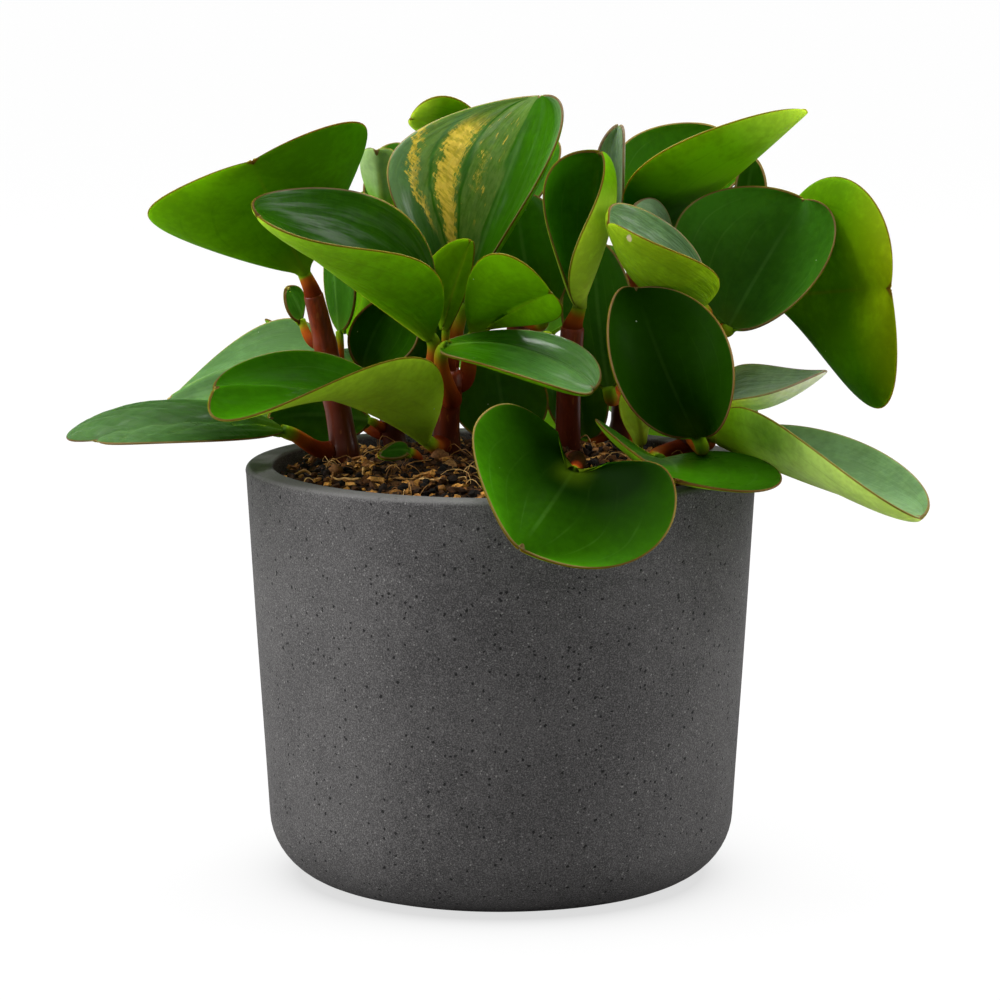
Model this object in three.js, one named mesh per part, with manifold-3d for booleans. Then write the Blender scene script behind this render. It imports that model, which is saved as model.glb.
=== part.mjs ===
// A potted peperomia: round-leaved house plant with red-brown stems in a grey concrete pot.
// Millimetres, +Z up, the pot stands on z = 0 round the Z axis and its front looks along -Y.
import * as THREE from "three";
import { mergeVertices } from "three/addons/utils/BufferGeometryUtils.js";
import Module from "manifold-3d";

// ---------- driving sizes ----------
const GAP = 0.3; // air kept between parts that touch

const POT = {
  height: 122,
  rimRadius: 75,
  footRadius: 67.6, // where the wall line would meet the floor
  wall: 8,
  base: 9,
  bottomRound: 18,
  insideRound: 12,
  rimRound: 1.6,
  segments: 52,
};

const SOIL = {
  edgeHeight: 117,
  middleHeight: 122.5,
  lump: 0.9,
  segments: 30,
  rings: [1, 0.93, 0.78, 0.58, 0.36, 0.16], // share of the radius
};

const STEM = { sides: 10, rings: 5, buried: 16 };

const PETIOLE = { stemRadius: 2.5, bladeRadius: 1.9, sides: 14 };

const BLADE = {
  thickness: 1.3,
  edge: 0.8,
  keel: 1.5,
  keelWidth: 3,
  notch: 1.5, // how far the tip is drawn in at the midrib
  stations: 7,
  across: [0, 0.15, 0.55, 1],
};

// A small leaf has fewer stations along it and fewer points across, and so has a plain one.
const SMALL_BLADE = { ...BLADE, stations: 5, across: [0, 0.4, 1] };
const PLAIN_BLADE = { ...BLADE, stations: 6, across: [0, 0.5, 1] };

const COLOUR = {
  concrete: 0x565656,
  soil: 0x4a3018,
  stem: 0x6e3326,
  leaf: 0x2f6a1e,
  marked: 0x6f8a2c,
};

// Stems: foot, middle and top of the axis, radius at foot and top.
const STEMS = {
  stem_left: { path: [[-46, 14, 121], [-50, 13, 146], [-55, 9, 170]], radius: [4.3, 2.9] },
  stem_centre: { path: [[-16, 14, 121], [-16, 12, 134], [-15, 9, 147]], radius: [4, 3.7] },
  stem_middle: { path: [[20, 18, 121], [20, 14, 140], [21, 10, 160]], radius: [3.8, 3.5] },
  stem_right: { path: [[56, 16, 119], [58, 12, 144], [62, 12, 166]], radius: [3.8, 3.2] },
  stem_back_left: { path: [[-32, 46, 119], [-35, 48, 147], [-36, 50, 180]], radius: [3.6, 3] },
  stem_back: { path: [[3, 44, 119], [5, 42, 153], [7, 40, 188]], radius: [3.6, 3] },
  stem_back_right: { path: [[36, 46, 118], [39, 43, 150], [42, 40, 181]], radius: [3.6, 3] },
  stem_front: { path: [[17, -16, 120], [19, -30, 126], [21, -42, 129]], radius: [3, 2.6] },
};

// Leaves. `on`, `at` and `side` say where the leaf stalk starts: the stem, the share of its
// height and the compass side (0 = +X, 90 = +Y; "top" is the end of the stem).
// `base`, `middle` and `tip` are points on the midrib; `left` and `right` are points on the two
// edges, seen along the midrib with the upper face up. Two points lie at a quarter and at three
// quarters of the length, one lies halfway. Where a leaf has them, `bulge` says how far its left
// and right half sag, `blunt` how round it is at base and tip (less is blunter), `lobe` how far
// the two halves reach back past the base, and `small` makes it thinner stalked.
const LEAVES = {
  leaf_left_high: {
    on: "stem_left", at: 0.98, side: "top",
    base: [-58, 10, 177], middle: [-65, -8, 196], tip: [-70, -36, 213],
    left: [[-43, 8, 205.6], [-42.8, -20, 223]], right: [[-94, -2, 188.6], [-96, -22, 202]],
    blunt: [0.58, 0.52],
  },
  leaf_left_cup: {
    on: "stem_centre", at: 0.9, side: 190,
    base: [-21, 2, 159], middle: [-43, -18, 177], tip: [-68, -42, 198],
    left: [[-20, -26, 182], [-48, -50, 191]], right: [[-26.5, 2, 193.4], [-60, -24, 204.2]],
  },
  leaf_marked: {
    on: "stem_centre", at: 0.9, side: 90,
    base: [-11, 17, 167], middle: [0, 22, 199], tip: [12, 40, 226.8],
    left: [[-30, 10, 194], [-26, 28, 216.6]], right: [[0, 2, 187], [17, 10, 217.5]],
    bulge: [0.08, 0.15],
  },
  leaf_centre_small: {
    on: "stem_centre", at: 0.98, side: "top",
    base: [-16, 7, 161], middle: [-13, 3, 173], tip: [-8.5, 0, 187],
    left: [[-9.5, 1, 174]], right: [[-22.5, 11, 176.5]],
    small: true,
  },
  leaf_ear: {
    on: "stem_centre", at: 0.9, side: 10,
    base: [-8, 10, 158], middle: [3, -8, 168], tip: [14, -26, 175],
    left: [[-2, 4, 161.2], [15.5, -19, 166.2]], right: [[-5, -26, 185]],
  },
  leaf_glossy: {
    on: "stem_centre", at: 0.75, side: -70,
    base: [-15, -6, 157], middle: [6, -23, 158], tip: [26, -42, 149],
    left: [[-4, -3, 161], [23, -14, 158]], right: [[-8, -34, 156], [14, -56, 152]],
    lobe: [3, 3],
  },
  leaf_left_spoon: {
    on: "stem_centre", at: 0.2, side: -120,
    base: [-22, -2, 129], middle: [-49, -24, 145], tip: [-81, -40, 149],
    left: [[-24, -32, 157], [-67, -54, 144]], right: [[-38, 3, 148], [-68, -8, 155]],
  },
  leaf_left_low: {
    on: "stem_left", at: 0.06, side: 190,
    base: [-64, 2, 131], middle: [-89, -22, 136], tip: [-114, -46, 135],
    left: [[-75, -24, 132], [-98, -56, 135.6]], right: [[-92, 12, 138], [-122.5, -18, 134.8]],
    bulge: [-0.05, -0.1], blunt: [0.6, 0.5],
  },
  leaf_left_behind: {
    on: "stem_left", at: 0.36, side: 110,
    base: [-51, 28, 145], middle: [-76, 28, 147], tip: [-99, 20, 138],
    left: [[-72, 15, 139]], right: [[-65, 46, 159.3], [-91.4, 36, 143.8]],
    blunt: [0.4, 0.4],
  },
  leaf_left_bud: {
    on: "stem_left", at: 0.7, side: 150,
    base: [-59, 18, 162], middle: [-61, 20, 167], tip: [-63.5, 22, 171],
    left: [[-62.8, 14, 165]], right: [[-59, 29, 169]],
    small: true,
  },
  leaf_edge_on: {
    on: "stem_left", at: 0.5, side: 70,
    base: [-48, 22, 158], middle: [-49, 26, 171], tip: [-50, 28, 185],
    left: [[-53, 34, 171]], right: [[-43, 12, 173]],
    small: true,
  },
  leaf_pale_inner: {
    on: "stem_back_left", at: 0.5, side: -130,
    base: [-44, 36, 154], middle: [-42, 38, 162], tip: [-40, 43, 171],
    left: [[-34, 28, 167]], right: [[-47, 46, 162]],
    small: true,
  },
  leaf_dark_inner: {
    on: "stem_back_left", at: 0.35, side: -80,
    base: [-41, 20, 147], middle: [-38, 20, 157], tip: [-31, 26, 168],
    left: [[-44, 13, 161]], right: [[-25, 8, 156]],
    small: true,
  },
  leaf_inner_centre: {
    on: "stem_back_left", at: 0.45, side: -20,
    base: [-22, 40, 143], middle: [-20, 38, 155], tip: [-19, 40, 169],
    left: [[-32, 33, 156]], right: [[-8, 33, 156]],
    small: true,
  },
  leaf_top_small: {
    on: "stem_back", at: 0.98, side: "top",
    base: [0, 62, 205], middle: [-14, 54, 216], tip: [-27, 46, 220],
    left: [[-12, 42, 225.3]], right: [[-19, 66, 211]],
    small: true,
  },
  leaf_pale_top: {
    on: "stem_back_left", at: 0.95, side: -60,
    base: [-35, 42, 191], middle: [-36, 38, 201], tip: [-37, 32, 211],
    left: [[-29, 42, 205]], right: [[-42, 44, 205]],
    small: true,
  },
  leaf_dark_top: {
    on: "stem_back_left", at: 0.98, side: "top",
    base: [-33, 54, 188], middle: [-36, 60, 199], tip: [-37, 68, 209],
    left: [[-41.5, 54, 195]], right: [[-26, 62, 206]],
    small: true,
  },
  leaf_dark_centre: {
    on: "stem_back", at: 0.62, side: -80,
    base: [12, 26, 162], middle: [7, 26, 180], tip: [5, 36, 198],
    left: [[-8, 22, 180]], right: [[20, 20, 184]],
  },
  leaf_upright_spoon: {
    on: "stem_middle", at: 0.98, side: "top",
    base: [23, 8, 167], middle: [27, 14, 190], tip: [29, 10, 212],
    left: [[17, -6, 181], [13, -2, 205]], right: [[20, -12, 182], [28, -12, 202]],
    bulge: [0.15, 0.2],
  },
  leaf_grey_narrow: {
    on: "stem_back_right", at: 0.95, side: 200,
    base: [35, 40, 191], middle: [32.5, 44, 205], tip: [35.5, 48, 217.4],
    left: [[28.5, 38, 206]], right: [[36.5, 34, 207]],
    small: true,
  },
  leaf_right_back: {
    on: "stem_back_right", at: 0.98, side: "top",
    base: [47, 56, 187], middle: [54, 74, 200], tip: [68, 92, 213.5],
    left: [[36.5, 68, 209]], right: [[75, 64, 203]],
  },
  leaf_right_pointed: {
    on: "stem_back_right", at: 0.88, side: -70,
    base: [44, 31, 185], middle: [65, 20, 202.2], tip: [89.3, 12, 223.8],
    left: [[51, 46, 202.5], [75, 22, 219]], right: [[37, 8, 203.5], [63, -8, 221]],
  },
  leaf_right_sliver: {
    on: "stem_back_right", at: 0.82, side: 10,
    base: [73, 34, 190], middle: [74, 37, 200], tip: [76, 42, 208],
    left: [[70, 36, 201]], right: [[79, 32, 197]],
    small: true,
  },
  leaf_right_round: {
    on: "stem_right", at: 0.9, side: -20,
    base: [67, 7, 161], middle: [77, 14, 178], tip: [90, 26, 197],
    left: [[51, 5, 181.5], [61, 8, 200.3]], right: [[82.5, -6, 167.2], [97.5, 4, 187.5]],
  },
  leaf_right_outer: {
    on: "stem_right", at: 0.85, side: 70,
    base: [80, 42, 166], middle: [96.5, 20, 170], tip: [112.9, -6, 174],
    left: [[93, 28, 154], [112, 3, 137.8]], right: [[89.5, 38, 197.3], [107.6, 6, 199.8]],
  },
  leaf_right_cup: {
    on: "stem_right", at: 0.9, side: -110,
    base: [57, -3, 168], middle: [40, -18, 177], tip: [30.8, -26, 194],
    left: [[60.5, -28, 181], [42, -42, 191]], right: [[55, 0, 186.5], [36.5, -8, 198.5]],
  },
  leaf_grey_strip: {
    on: "stem_back_right", at: 0.7, side: -80,
    base: [50, 12, 187], middle: [44, 5, 193], tip: [38, 0, 196],
    left: [[43, -2, 190.6]], right: [[46, 10, 198]],
    small: true,
  },
  leaf_right_egg: {
    on: "stem_right", at: 0.32, side: -110,
    base: [56, -30, 134], middle: [46, -38, 155], tip: [38, -26, 176],
    left: [[37, -50, 144], [30, -42, 169]], right: [[64, -54, 145.5], [60.5, -40, 169]],
  },
  leaf_right_mid: {
    on: "stem_right", at: 0.45, side: 20,
    base: [66, 12, 138], middle: [80, 2, 141.5], tip: [94, -10, 150.2],
    left: [[70, 20, 148], [86, 8, 148.7]], right: [[71, -16, 143.3], [83, -20, 147.2]],
  },
  leaf_right_long: {
    on: "stem_right", at: 0.15, side: -40,
    base: [64, -8, 130], middle: [89, -28, 121], tip: [118, -50, 113.5],
    left: [[89, 12, 131], [116.5, -20, 123.4]], right: [[72, -26, 141], [100, -60, 125]],
  },
  leaf_right_low: {
    on: "stem_right", at: 0.1, side: -150,
    base: [46, -16, 125], middle: [49, -38, 126.5], tip: [49, -62, 125.8],
    left: [[70, -22, 127.5], [77.3, -58, 124]], right: [[27, -32, 139]],
    bulge: [0.02, 0.12], blunt: [0.5, 0.4],
  },
  leaf_front_heart: {
    on: "stem_front", at: 0.98, side: "top",
    base: [20, -60, 128], middle: [13, -80, 121], tip: [5, -92, 112],
    left: [[48, -72, 125], [36.4, -88, 108]], right: [[-6, -64, 144], [-5, -84, 128]],
    blunt: [0.25, 0.5], lobe: [4, 13],
  },
  leaf_seedling: {
    root: [-24, -8, 123.1],
    base: [-27, -12, 127], middle: [-31, -18, 128], tip: [-35, -26, 128],
    left: [[-30, -26, 127]], right: [[-30, -12, 130]],
    small: true,
  },
  leaf_pale_low: {
    on: "stem_back_right", at: 0.2, side: -80,
    base: [41, 10, 127], middle: [40, 4, 135], tip: [37, 0, 143],
    left: [[44, 6, 138]], right: [[35, 4, 136]],
    small: true,
  },
  leaf_inner_right: {
    on: "stem_back_right", at: 0.3, side: -120,
    base: [32, 26, 141], middle: [29, 30, 163], tip: [28, 38, 184],
    left: [[18, 25, 162]], right: [[40, 24, 163]],
  },
  leaf_low_centre: {
    on: "stem_back", at: 0.12, side: -90,
    base: [2, 28, 124.8], middle: [0, 26, 138], tip: [-2, 29, 150],
    left: [[-15, 20, 137]], right: [[14, 21, 139]],
    blunt: [0.35, 0.5],
    small: true,
  },
  leaf_low_left: {
    on: "stem_back_left", at: 0.14, side: 215,
    base: [-40, 39, 129], middle: [-55, 38, 131], tip: [-70, 35, 130],
    left: [[-56, 36, 122]], right: [[-56, 40, 138]],
    small: true,
  },
  leaf_low_right: {
    on: "stem_back_right", at: 0.1, side: -150,
    base: [25, 43, 123], middle: [23.5, 42, 137], tip: [22, 45, 151],
    left: [[13, 36, 138]], right: [[32.5, 41, 136]],
    blunt: [0.35, 0.5],
    small: true,
  },
  leaf_back_1: plain("stem_back_left", 0.12, 160, [-46, 54, 128], [-92, 76, 118], 56),
  leaf_back_2: plain("stem_back_left", 0.32, 120, [-46, 64, 142], [-56, 116, 136], 50),
  leaf_back_3: plain("stem_back_left", 0.82, 100, [-40, 66, 172], [-52, 106, 188], 54, -0.6),
  leaf_back_4: plain("stem_back", 0.88, 100, [-2, 64, 182], [-12, 104, 200], 58, -0.6),
  leaf_back_5: plain("stem_back", 0.55, 80, [14, 64, 152], [18, 114, 170], 46),
  leaf_back_6: plain("stem_back", 0.22, 90, [8, 70, 134], [20, 128, 110], 66, 0.2),
  leaf_back_7: plain("stem_back_right", 0.88, 90, [46, 64, 176], [60, 106, 190], 54, -0.6),
  leaf_back_8: plain("stem_back_right", 0.6, 75, [48, 62, 158], [66, 114, 148], 48),
  leaf_back_9: plain("stem_back_right", 0.25, 30, [57, 51, 130], [77, 56, 122], 28),
  leaf_back_10: plain("stem_back_right", 0.75, 40, [68, 66, 170], [106, 74, 174], 48),
  leaf_back_11: plain("stem_back_right", 0.1, 80, [43, 62, 126], [52, 104, 110], 44),
  leaf_back_12: plain("stem_back_left", 0.6, 60, [-24, 62, 157], [-30, 112, 154], 46),
};

// ---------- small helpers ----------
function vec(point) {
  return new THREE.Vector3(...point);
}

// A leaf that needs no hand-placed edges: it hangs in a shallow arch from base to tip, is
// `width` across, and its upper face looks up and by `lean` towards the back.
function plain(on, at, side, base, tip, width, lean = 0) {
  const arch = 5;
  const cup = THREE.MathUtils.degToRad(25);
  const along = vec(tip).sub(vec(base)).normalize();
  const up = new THREE.Vector3(0, lean, 1).projectOnPlane(along).normalize();
  const across = along.clone().cross(up);
  const middle = vec(base).lerp(vec(tip), 0.5).addScaledVector(up, arch);
  const edge = (sign) => middle.clone()
    .addScaledVector(across, (sign * width * Math.cos(cup)) / 2)
    .addScaledVector(up, (width * Math.sin(cup)) / 2)
    .toArray();
  const left = [edge(-1)];
  const right = [edge(1)];
  return { on, at, side, base, middle: middle.toArray(), tip, left, right, plain: true };
}

// Point and direction on the arc through a, m (halfway) and b.
function arcPoint(a, m, b, t) {
  const bend = vec(m).multiplyScalar(2).sub(vec(a).add(vec(b)).multiplyScalar(0.5));
  return vec(a).multiplyScalar((1 - t) ** 2)
    .addScaledVector(bend, 2 * t * (1 - t))
    .addScaledVector(vec(b), t * t);
}

function arcDirection(a, m, b, t) {
  const bend = vec(m).multiplyScalar(2).sub(vec(a).add(vec(b)).multiplyScalar(0.5));
  return bend.clone().sub(vec(a)).multiplyScalar(1 - t)
    .addScaledVector(vec(b).sub(bend), t)
    .normalize();
}

// A closed solid through a list of rings of points, which run anticlockwise about the way
// the rings go. From `flip` on, each quad is split along its other diagonal.
function loft(rings, flip = Infinity) {
  const count = rings[0].length;
  const centre = (ring) => ring
    .reduce((sum, p) => sum.add(p), new THREE.Vector3())
    .divideScalar(count);
  const last = rings.length - 1;
  const points = [...rings.flat(), centre(rings[0]), centre(rings[last])];
  const firstCentre = rings.length * count;
  const faces = [];
  for (let j = 0; j < count; j++) {
    const k = (j + 1) % count;
    faces.push(firstCentre, k, j);
    faces.push(firstCentre + 1, last * count + j, last * count + k);
    for (let i = 0; i < last; i++) {
      const [a, b] = [i * count + j, i * count + k];
      const [d, c] = [a + count, b + count];
      if (j < flip) faces.push(a, b, c, a, c, d);
      else faces.push(a, b, d, b, c, d);
    }
  }
  const geometry = new THREE.BufferGeometry();
  const numbers = points.flatMap((point) => point.toArray());
  geometry.setAttribute("position", new THREE.Float32BufferAttribute(numbers, 3));
  geometry.setIndex(faces);
  return geometry;
}

// One level ring of points round the Z axis; radius and height may vary with the angle.
function levelRing(radius, height, segments) {
  return Array.from({ length: segments }, (_, i) => {
    const angle = (2 * Math.PI * i) / segments;
    const r = typeof radius === "function" ? radius(angle) : radius;
    const z = typeof height === "function" ? height(angle) : height;
    return new THREE.Vector3(r * Math.cos(angle), r * Math.sin(angle), z);
  });
}

// A round ring of radius r about a point, anticlockwise about `along`, from `left` over `up`.
function roundRing(at, along, up, r, sides) {
  const right = along.clone().cross(up);
  return Array.from({ length: sides }, (_, i) => {
    const angle = Math.PI - ((i + 0.5) * 2 * Math.PI) / sides;
    return at.clone()
      .addScaledVector(right, r * Math.cos(angle))
      .addScaledVector(up, r * Math.sin(angle));
  });
}

// ---------- joining and cutting ----------
const wasm = await Module();
wasm.setup();

function solid(geometry) {
  const bare = geometry.clone();
  bare.deleteAttribute("normal");
  bare.deleteAttribute("uv");
  const merged = mergeVertices(bare, 1e-4);
  return new wasm.Manifold(new wasm.Mesh({
    numProp: 3,
    vertProperties: merged.attributes.position.array,
    triVerts: new Uint32Array(merged.index.array),
  }));
}

function geometryOf(manifold) {
  const mesh = manifold.getMesh();
  const geometry = new THREE.BufferGeometry();
  geometry.setAttribute("position", new THREE.BufferAttribute(mesh.vertProperties, 3));
  geometry.setIndex(new THREE.BufferAttribute(mesh.triVerts, 1));
  return geometry;
}

// ---------- pot ----------
function potRadius(z) {
  return POT.footRadius + ((POT.rimRadius - POT.footRadius) * z) / POT.height;
}

// Points of a quarter round from the flat at the bottom into the wall.
function bottomCurve(radiusAt, floor, round, steps) {
  return Array.from({ length: steps + 1 }, (_, i) => {
    const angle = (Math.PI / 2) * (i / steps);
    const z = floor + round * (1 - Math.cos(angle));
    return [radiusAt(z) - round * (1 - Math.sin(angle)), z];
  });
}

function potGeometry() {
  const { height, wall, base, bottomRound, insideRound, rimRound, segments } = POT;
  const outer = bottomCurve(potRadius, 0, bottomRound, 5);
  const inner = bottomCurve((z) => potRadius(z) - wall, base, insideRound, 3).reverse();
  const profile = [
    ...outer,
    [potRadius(height), height - rimRound],
    [potRadius(height) - 0.3 * rimRound, height - 0.3 * rimRound],
    [potRadius(height) - rimRound, height],
    [potRadius(height) - wall + 0.6, height],
    [potRadius(height) - wall, height - 0.6],
    ...inner,
  ];
  return loft(profile.map(([r, z]) => levelRing(r, z, segments)));
}

// ---------- stems ----------
function stemRings(stem, extra) {
  const { path: [foot, middle, top], radius: [thick, thin] } = stem;
  const up = new THREE.Vector3(0, 1, 0);
  const ring = (at, along, r) => {
    const level = up.clone().projectOnPlane(along).normalize();
    return roundRing(at, along, level, r, STEM.sides);
  };
  const start = arcDirection(foot, middle, top, 0);
  const bottom = vec(foot).addScaledVector(start, -STEM.buried - extra);
  const rings = [ring(bottom, start, thick + extra)];
  for (let i = 0; i < STEM.rings; i++) {
    const t = i / (STEM.rings - 1);
    const r = THREE.MathUtils.lerp(thick, thin, t) + extra;
    rings.push(ring(arcPoint(foot, middle, top, t), arcDirection(foot, middle, top, t), r));
  }
  const end = arcDirection(foot, middle, top, 1);
  const tip = vec(top).addScaledVector(end, 0.5 * thin);
  rings.push(ring(tip, end, 0.75 * thin + extra));
  return rings;
}

function stemGeometry(stem) {
  return loft(stemRings(stem, 0));
}

// ---------- soil ----------
function soilGeometry() {
  const { edgeHeight, middleHeight, lump, segments, rings } = SOIL;
  const inside = (z) => potRadius(z) - POT.wall - GAP;
  const bottom = bottomCurve(inside, POT.base + GAP, POT.insideRound, 3);
  const surface = (share) => (angle) => {
    const mound = middleHeight - (middleHeight - edgeHeight) * share ** 3;
    const bumps = Math.sin(5 * angle + 9 * share) + Math.sin(11 * angle - 14 * share);
    return mound + (share < 1 ? lump * bumps * 0.5 : 0);
  };
  const levels = [
    ...bottom.map(([r, z]) => levelRing(r, z, segments)),
    ...rings.map((share) => levelRing(share * inside(edgeHeight), surface(share), segments)),
  ];
  let body = solid(loft(levels));
  for (const stem of Object.values(STEMS)) body = body.subtract(solid(loft(stemRings(stem, GAP))));
  return geometryOf(body);
}

// ---------- leaves ----------
// Half-width of the blade at share u of its length, as a share of the widest.
function outline(leaf, u) {
  const [atBase, atTip] = leaf.blunt ?? [0.5, 0.5];
  const power = atBase * (1 - u) + atTip * u;
  const narrowest = u < 0.5 ? 0.07 : 0.03;
  return Math.max(Math.sin(Math.PI * Math.min(Math.max(u, 0), 1)) ** power, narrowest);
}

// The middle surface of the blade: u runs from base to tip, v from the left edge (-1) to the
// right edge (1). Each half is a shallow arc that sags below the chord from midrib to edge.
function bladePoint(leaf, u, v) {
  const { base, middle, tip } = leaf;
  const rib = arcPoint(base, middle, tip, u);
  const along = arcDirection(base, middle, tip, u);
  const edges = v < 0 ? leaf.left : leaf.right;
  const reach = (point, t) => vec(point)
    .sub(arcPoint(base, middle, tip, t))
    .divideScalar(outline(leaf, t));
  const out = edges.length === 1
    ? reach(edges[0], 0.5)
    : reach(edges[0], 0.25).lerp(reach(edges[1], 0.75), (u - 0.25) / 0.5);
  const up = out.clone().cross(along).multiplyScalar(v < 0 ? -1 : 1).normalize();
  const share = Math.abs(v);
  const half = v < 0 ? 0 : 1;
  const sag = (leaf.bulge ?? [0.12, 0.12])[half];
  const nearTip = Math.max(0, (u - 0.75) / 0.25);
  const nearBase = Math.max(0, 1 - u / 0.35);
  const notch = BLADE.notch * nearTip ** 2 * Math.exp(-((4 * v) ** 2));
  const lobe = (leaf.lobe ?? [0, 0])[half] * nearBase ** 1.5 * share ** 0.8;
  const width = outline(leaf, u);
  return rib
    .addScaledVector(out, width * share)
    .addScaledVector(up, -sag * 4 * share * (1 - share) * out.length() * width)
    .addScaledVector(along, -notch - lobe);
}

// Unit normal of the middle surface, on the upper side.
function bladeNormal(leaf, u, v) {
  const step = 0.02;
  const point = (atU, atV) => bladePoint(leaf, Math.min(atU, 1), Math.min(Math.max(atV, -1), 1));
  const alongU = point(u + step, v).sub(point(u - step, v));
  const alongV = point(u, v + step).sub(point(u, v - step));
  return alongV.cross(alongU).normalize();
}

// Upper points from left to right, then lower points back, with a keel under the midrib.
function bladeRing(leaf, u, size) {
  const half = size.across;
  const across = [...half.slice(1).reverse().map((v) => -v), ...half];
  const upper = [];
  const lower = [];
  for (const v of across) {
    const middle = bladePoint(leaf, u, v);
    const normal = bladeNormal(leaf, u, v);
    const thick = size.thickness - (size.thickness - size.edge) * v * v;
    const fromRib = middle.distanceTo(bladePoint(leaf, u, 0));
    const keel = size.keel * (1 - u) * Math.max(0, 1 - fromRib / size.keelWidth);
    upper.push(middle.clone().addScaledVector(normal, thick / 2));
    lower.unshift(middle.clone().addScaledVector(normal, -thick / 2 - keel));
  }
  return [...upper, ...lower];
}

// Where the leaf stalk starts and which way it leaves.
function stalkStart(leaf) {
  if (leaf.root) return [vec(leaf.root), new THREE.Vector3(0, 0, 1)];
  const { path, radius } = STEMS[leaf.on];
  const axis = arcDirection(...path, leaf.at);
  if (leaf.side === "top") {
    const top = vec(path[2]).addScaledVector(arcDirection(...path, 1), 0.5 * radius[1] + GAP);
    return [top, arcDirection(...path, 1)];
  }
  const angle = THREE.MathUtils.degToRad(leaf.side);
  const out = new THREE.Vector3(Math.cos(angle), Math.sin(angle), 0).projectOnPlane(axis).normalize();
  const thick = THREE.MathUtils.lerp(radius[0], radius[1], leaf.at);
  return [arcPoint(...path, leaf.at).addScaledVector(out, thick + GAP), out];
}

function stalkRings(leaf, sides) {
  const [start, out] = stalkStart(leaf);
  const end = vec(leaf.base);
  const into = arcDirection(leaf.base, leaf.middle, leaf.tip, 0);
  const reach = start.distanceTo(end);
  const curve = new THREE.CubicBezierCurve3(
    start,
    start.clone().addScaledVector(out, 0.35 * reach),
    end.clone().addScaledVector(into, -0.4 * reach),
    end,
  );
  const steps = reach > 22 ? 4 : 3;
  const rings = [];
  let up = bladeNormal(leaf, 0.1, 0);
  for (let i = steps; i >= 0; i--) {
    const t = i / steps;
    const along = curve.getTangent(t);
    up = up.clone().projectOnPlane(along).normalize();
    const r = THREE.MathUtils.lerp(PETIOLE.stemRadius, PETIOLE.bladeRadius, t);
    rings.unshift(roundRing(curve.getPoint(t), along, up, leaf.small ? 0.6 * r : r, sides));
  }
  return rings;
}

function leafGeometry(leaf) {
  const size = leaf.small ? SMALL_BLADE : leaf.plain ? PLAIN_BLADE : BLADE;
  const points = 2 * size.across.length - 1;
  const rings = stalkRings(leaf, 2 * points);
  for (let i = 1; i <= size.stations; i++) {
    const u = (1 - Math.cos((Math.PI * i) / size.stations)) / 2;
    rings.push(bladeRing(leaf, u, size));
  }
  return loft(rings, points);
}

// ---------- the object ----------
const object = new THREE.Group();
object.name = "potted_peperomia";

function add(name, geometry, color) {
  const mesh = new THREE.Mesh(geometry, new THREE.MeshStandardMaterial({ color, roughness: 0.6 }));
  mesh.name = name;
  object.add(mesh);
}

add("pot", potGeometry(), COLOUR.concrete);
add("soil", soilGeometry(), COLOUR.soil);
for (const [name, stem] of Object.entries(STEMS)) add(name, stemGeometry(stem), COLOUR.stem);
for (const [name, leaf] of Object.entries(LEAVES)) {
  add(name, leafGeometry(leaf), name === "leaf_marked" ? COLOUR.marked : COLOUR.leaf);
}

export default object;
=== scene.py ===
"""A potted peperomia: thick glossy round leaves on red-brown stems, in a grey concrete pot of bark soil.

Metres, +Z up. The pot stands on z = 0 round the Z axis, and its front looks along -Y."""
import math

import bpy
import numpy as np
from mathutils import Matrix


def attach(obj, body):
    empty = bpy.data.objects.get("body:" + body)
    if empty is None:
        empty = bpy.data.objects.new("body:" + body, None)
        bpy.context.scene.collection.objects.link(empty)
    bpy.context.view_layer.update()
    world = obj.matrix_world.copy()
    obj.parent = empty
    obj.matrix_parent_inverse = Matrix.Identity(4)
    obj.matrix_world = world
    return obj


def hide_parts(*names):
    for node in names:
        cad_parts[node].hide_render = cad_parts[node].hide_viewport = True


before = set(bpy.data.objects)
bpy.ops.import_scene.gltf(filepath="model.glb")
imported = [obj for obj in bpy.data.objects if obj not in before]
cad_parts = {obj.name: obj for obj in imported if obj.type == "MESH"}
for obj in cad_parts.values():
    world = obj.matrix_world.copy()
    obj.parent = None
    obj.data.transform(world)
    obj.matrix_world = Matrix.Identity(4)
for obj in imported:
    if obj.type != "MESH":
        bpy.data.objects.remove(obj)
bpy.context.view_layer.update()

# ---------------------------------------------------------------- view, light and floor
# A product shot on a white sweep: a long lens a little above the rim, a broad soft light on the
# left, a weaker one on the right, one overhead and a small one high behind. The front is darker.
EYE = (-0.0003, -1.2, 0.2996)
LOOK_DOWN = math.radians(8.94)
LENS = 149.0
SENSOR = 36.0

camera_data = bpy.data.cameras.new("camera")
camera_data.lens = LENS
camera_data.sensor_width = SENSOR
camera = bpy.data.objects.new("camera", camera_data)
camera.location = EYE
camera.rotation_euler = (math.pi / 2 - LOOK_DOWN, 0, 0)
bpy.context.scene.collection.objects.link(camera)
bpy.context.scene.camera = camera
bpy.context.scene.view_settings.view_transform = "Standard"

PLANT_HEART = (0.0, 0.0, 0.14)
WORLD_GREY = 0.34
# name: place, width, height, power in watts
SOFT_LIGHTS = {
    "light_left": ((-1.35, -0.25, 0.50), 1.0, 1.2, 22),
    "light_right": ((1.45, 0.0, 0.72), 0.9, 1.1, 16),
    "light_top": ((-0.15, 0.1, 1.6), 1.1, 1.1, 19),
    "light_back": ((0.06, 1.05, 1.50), 0.6, 0.5, 11),
}


def unit(rows):
    """Each row of three made one long."""
    return rows / np.linalg.norm(rows, axis=-1, keepdims=True)


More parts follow.
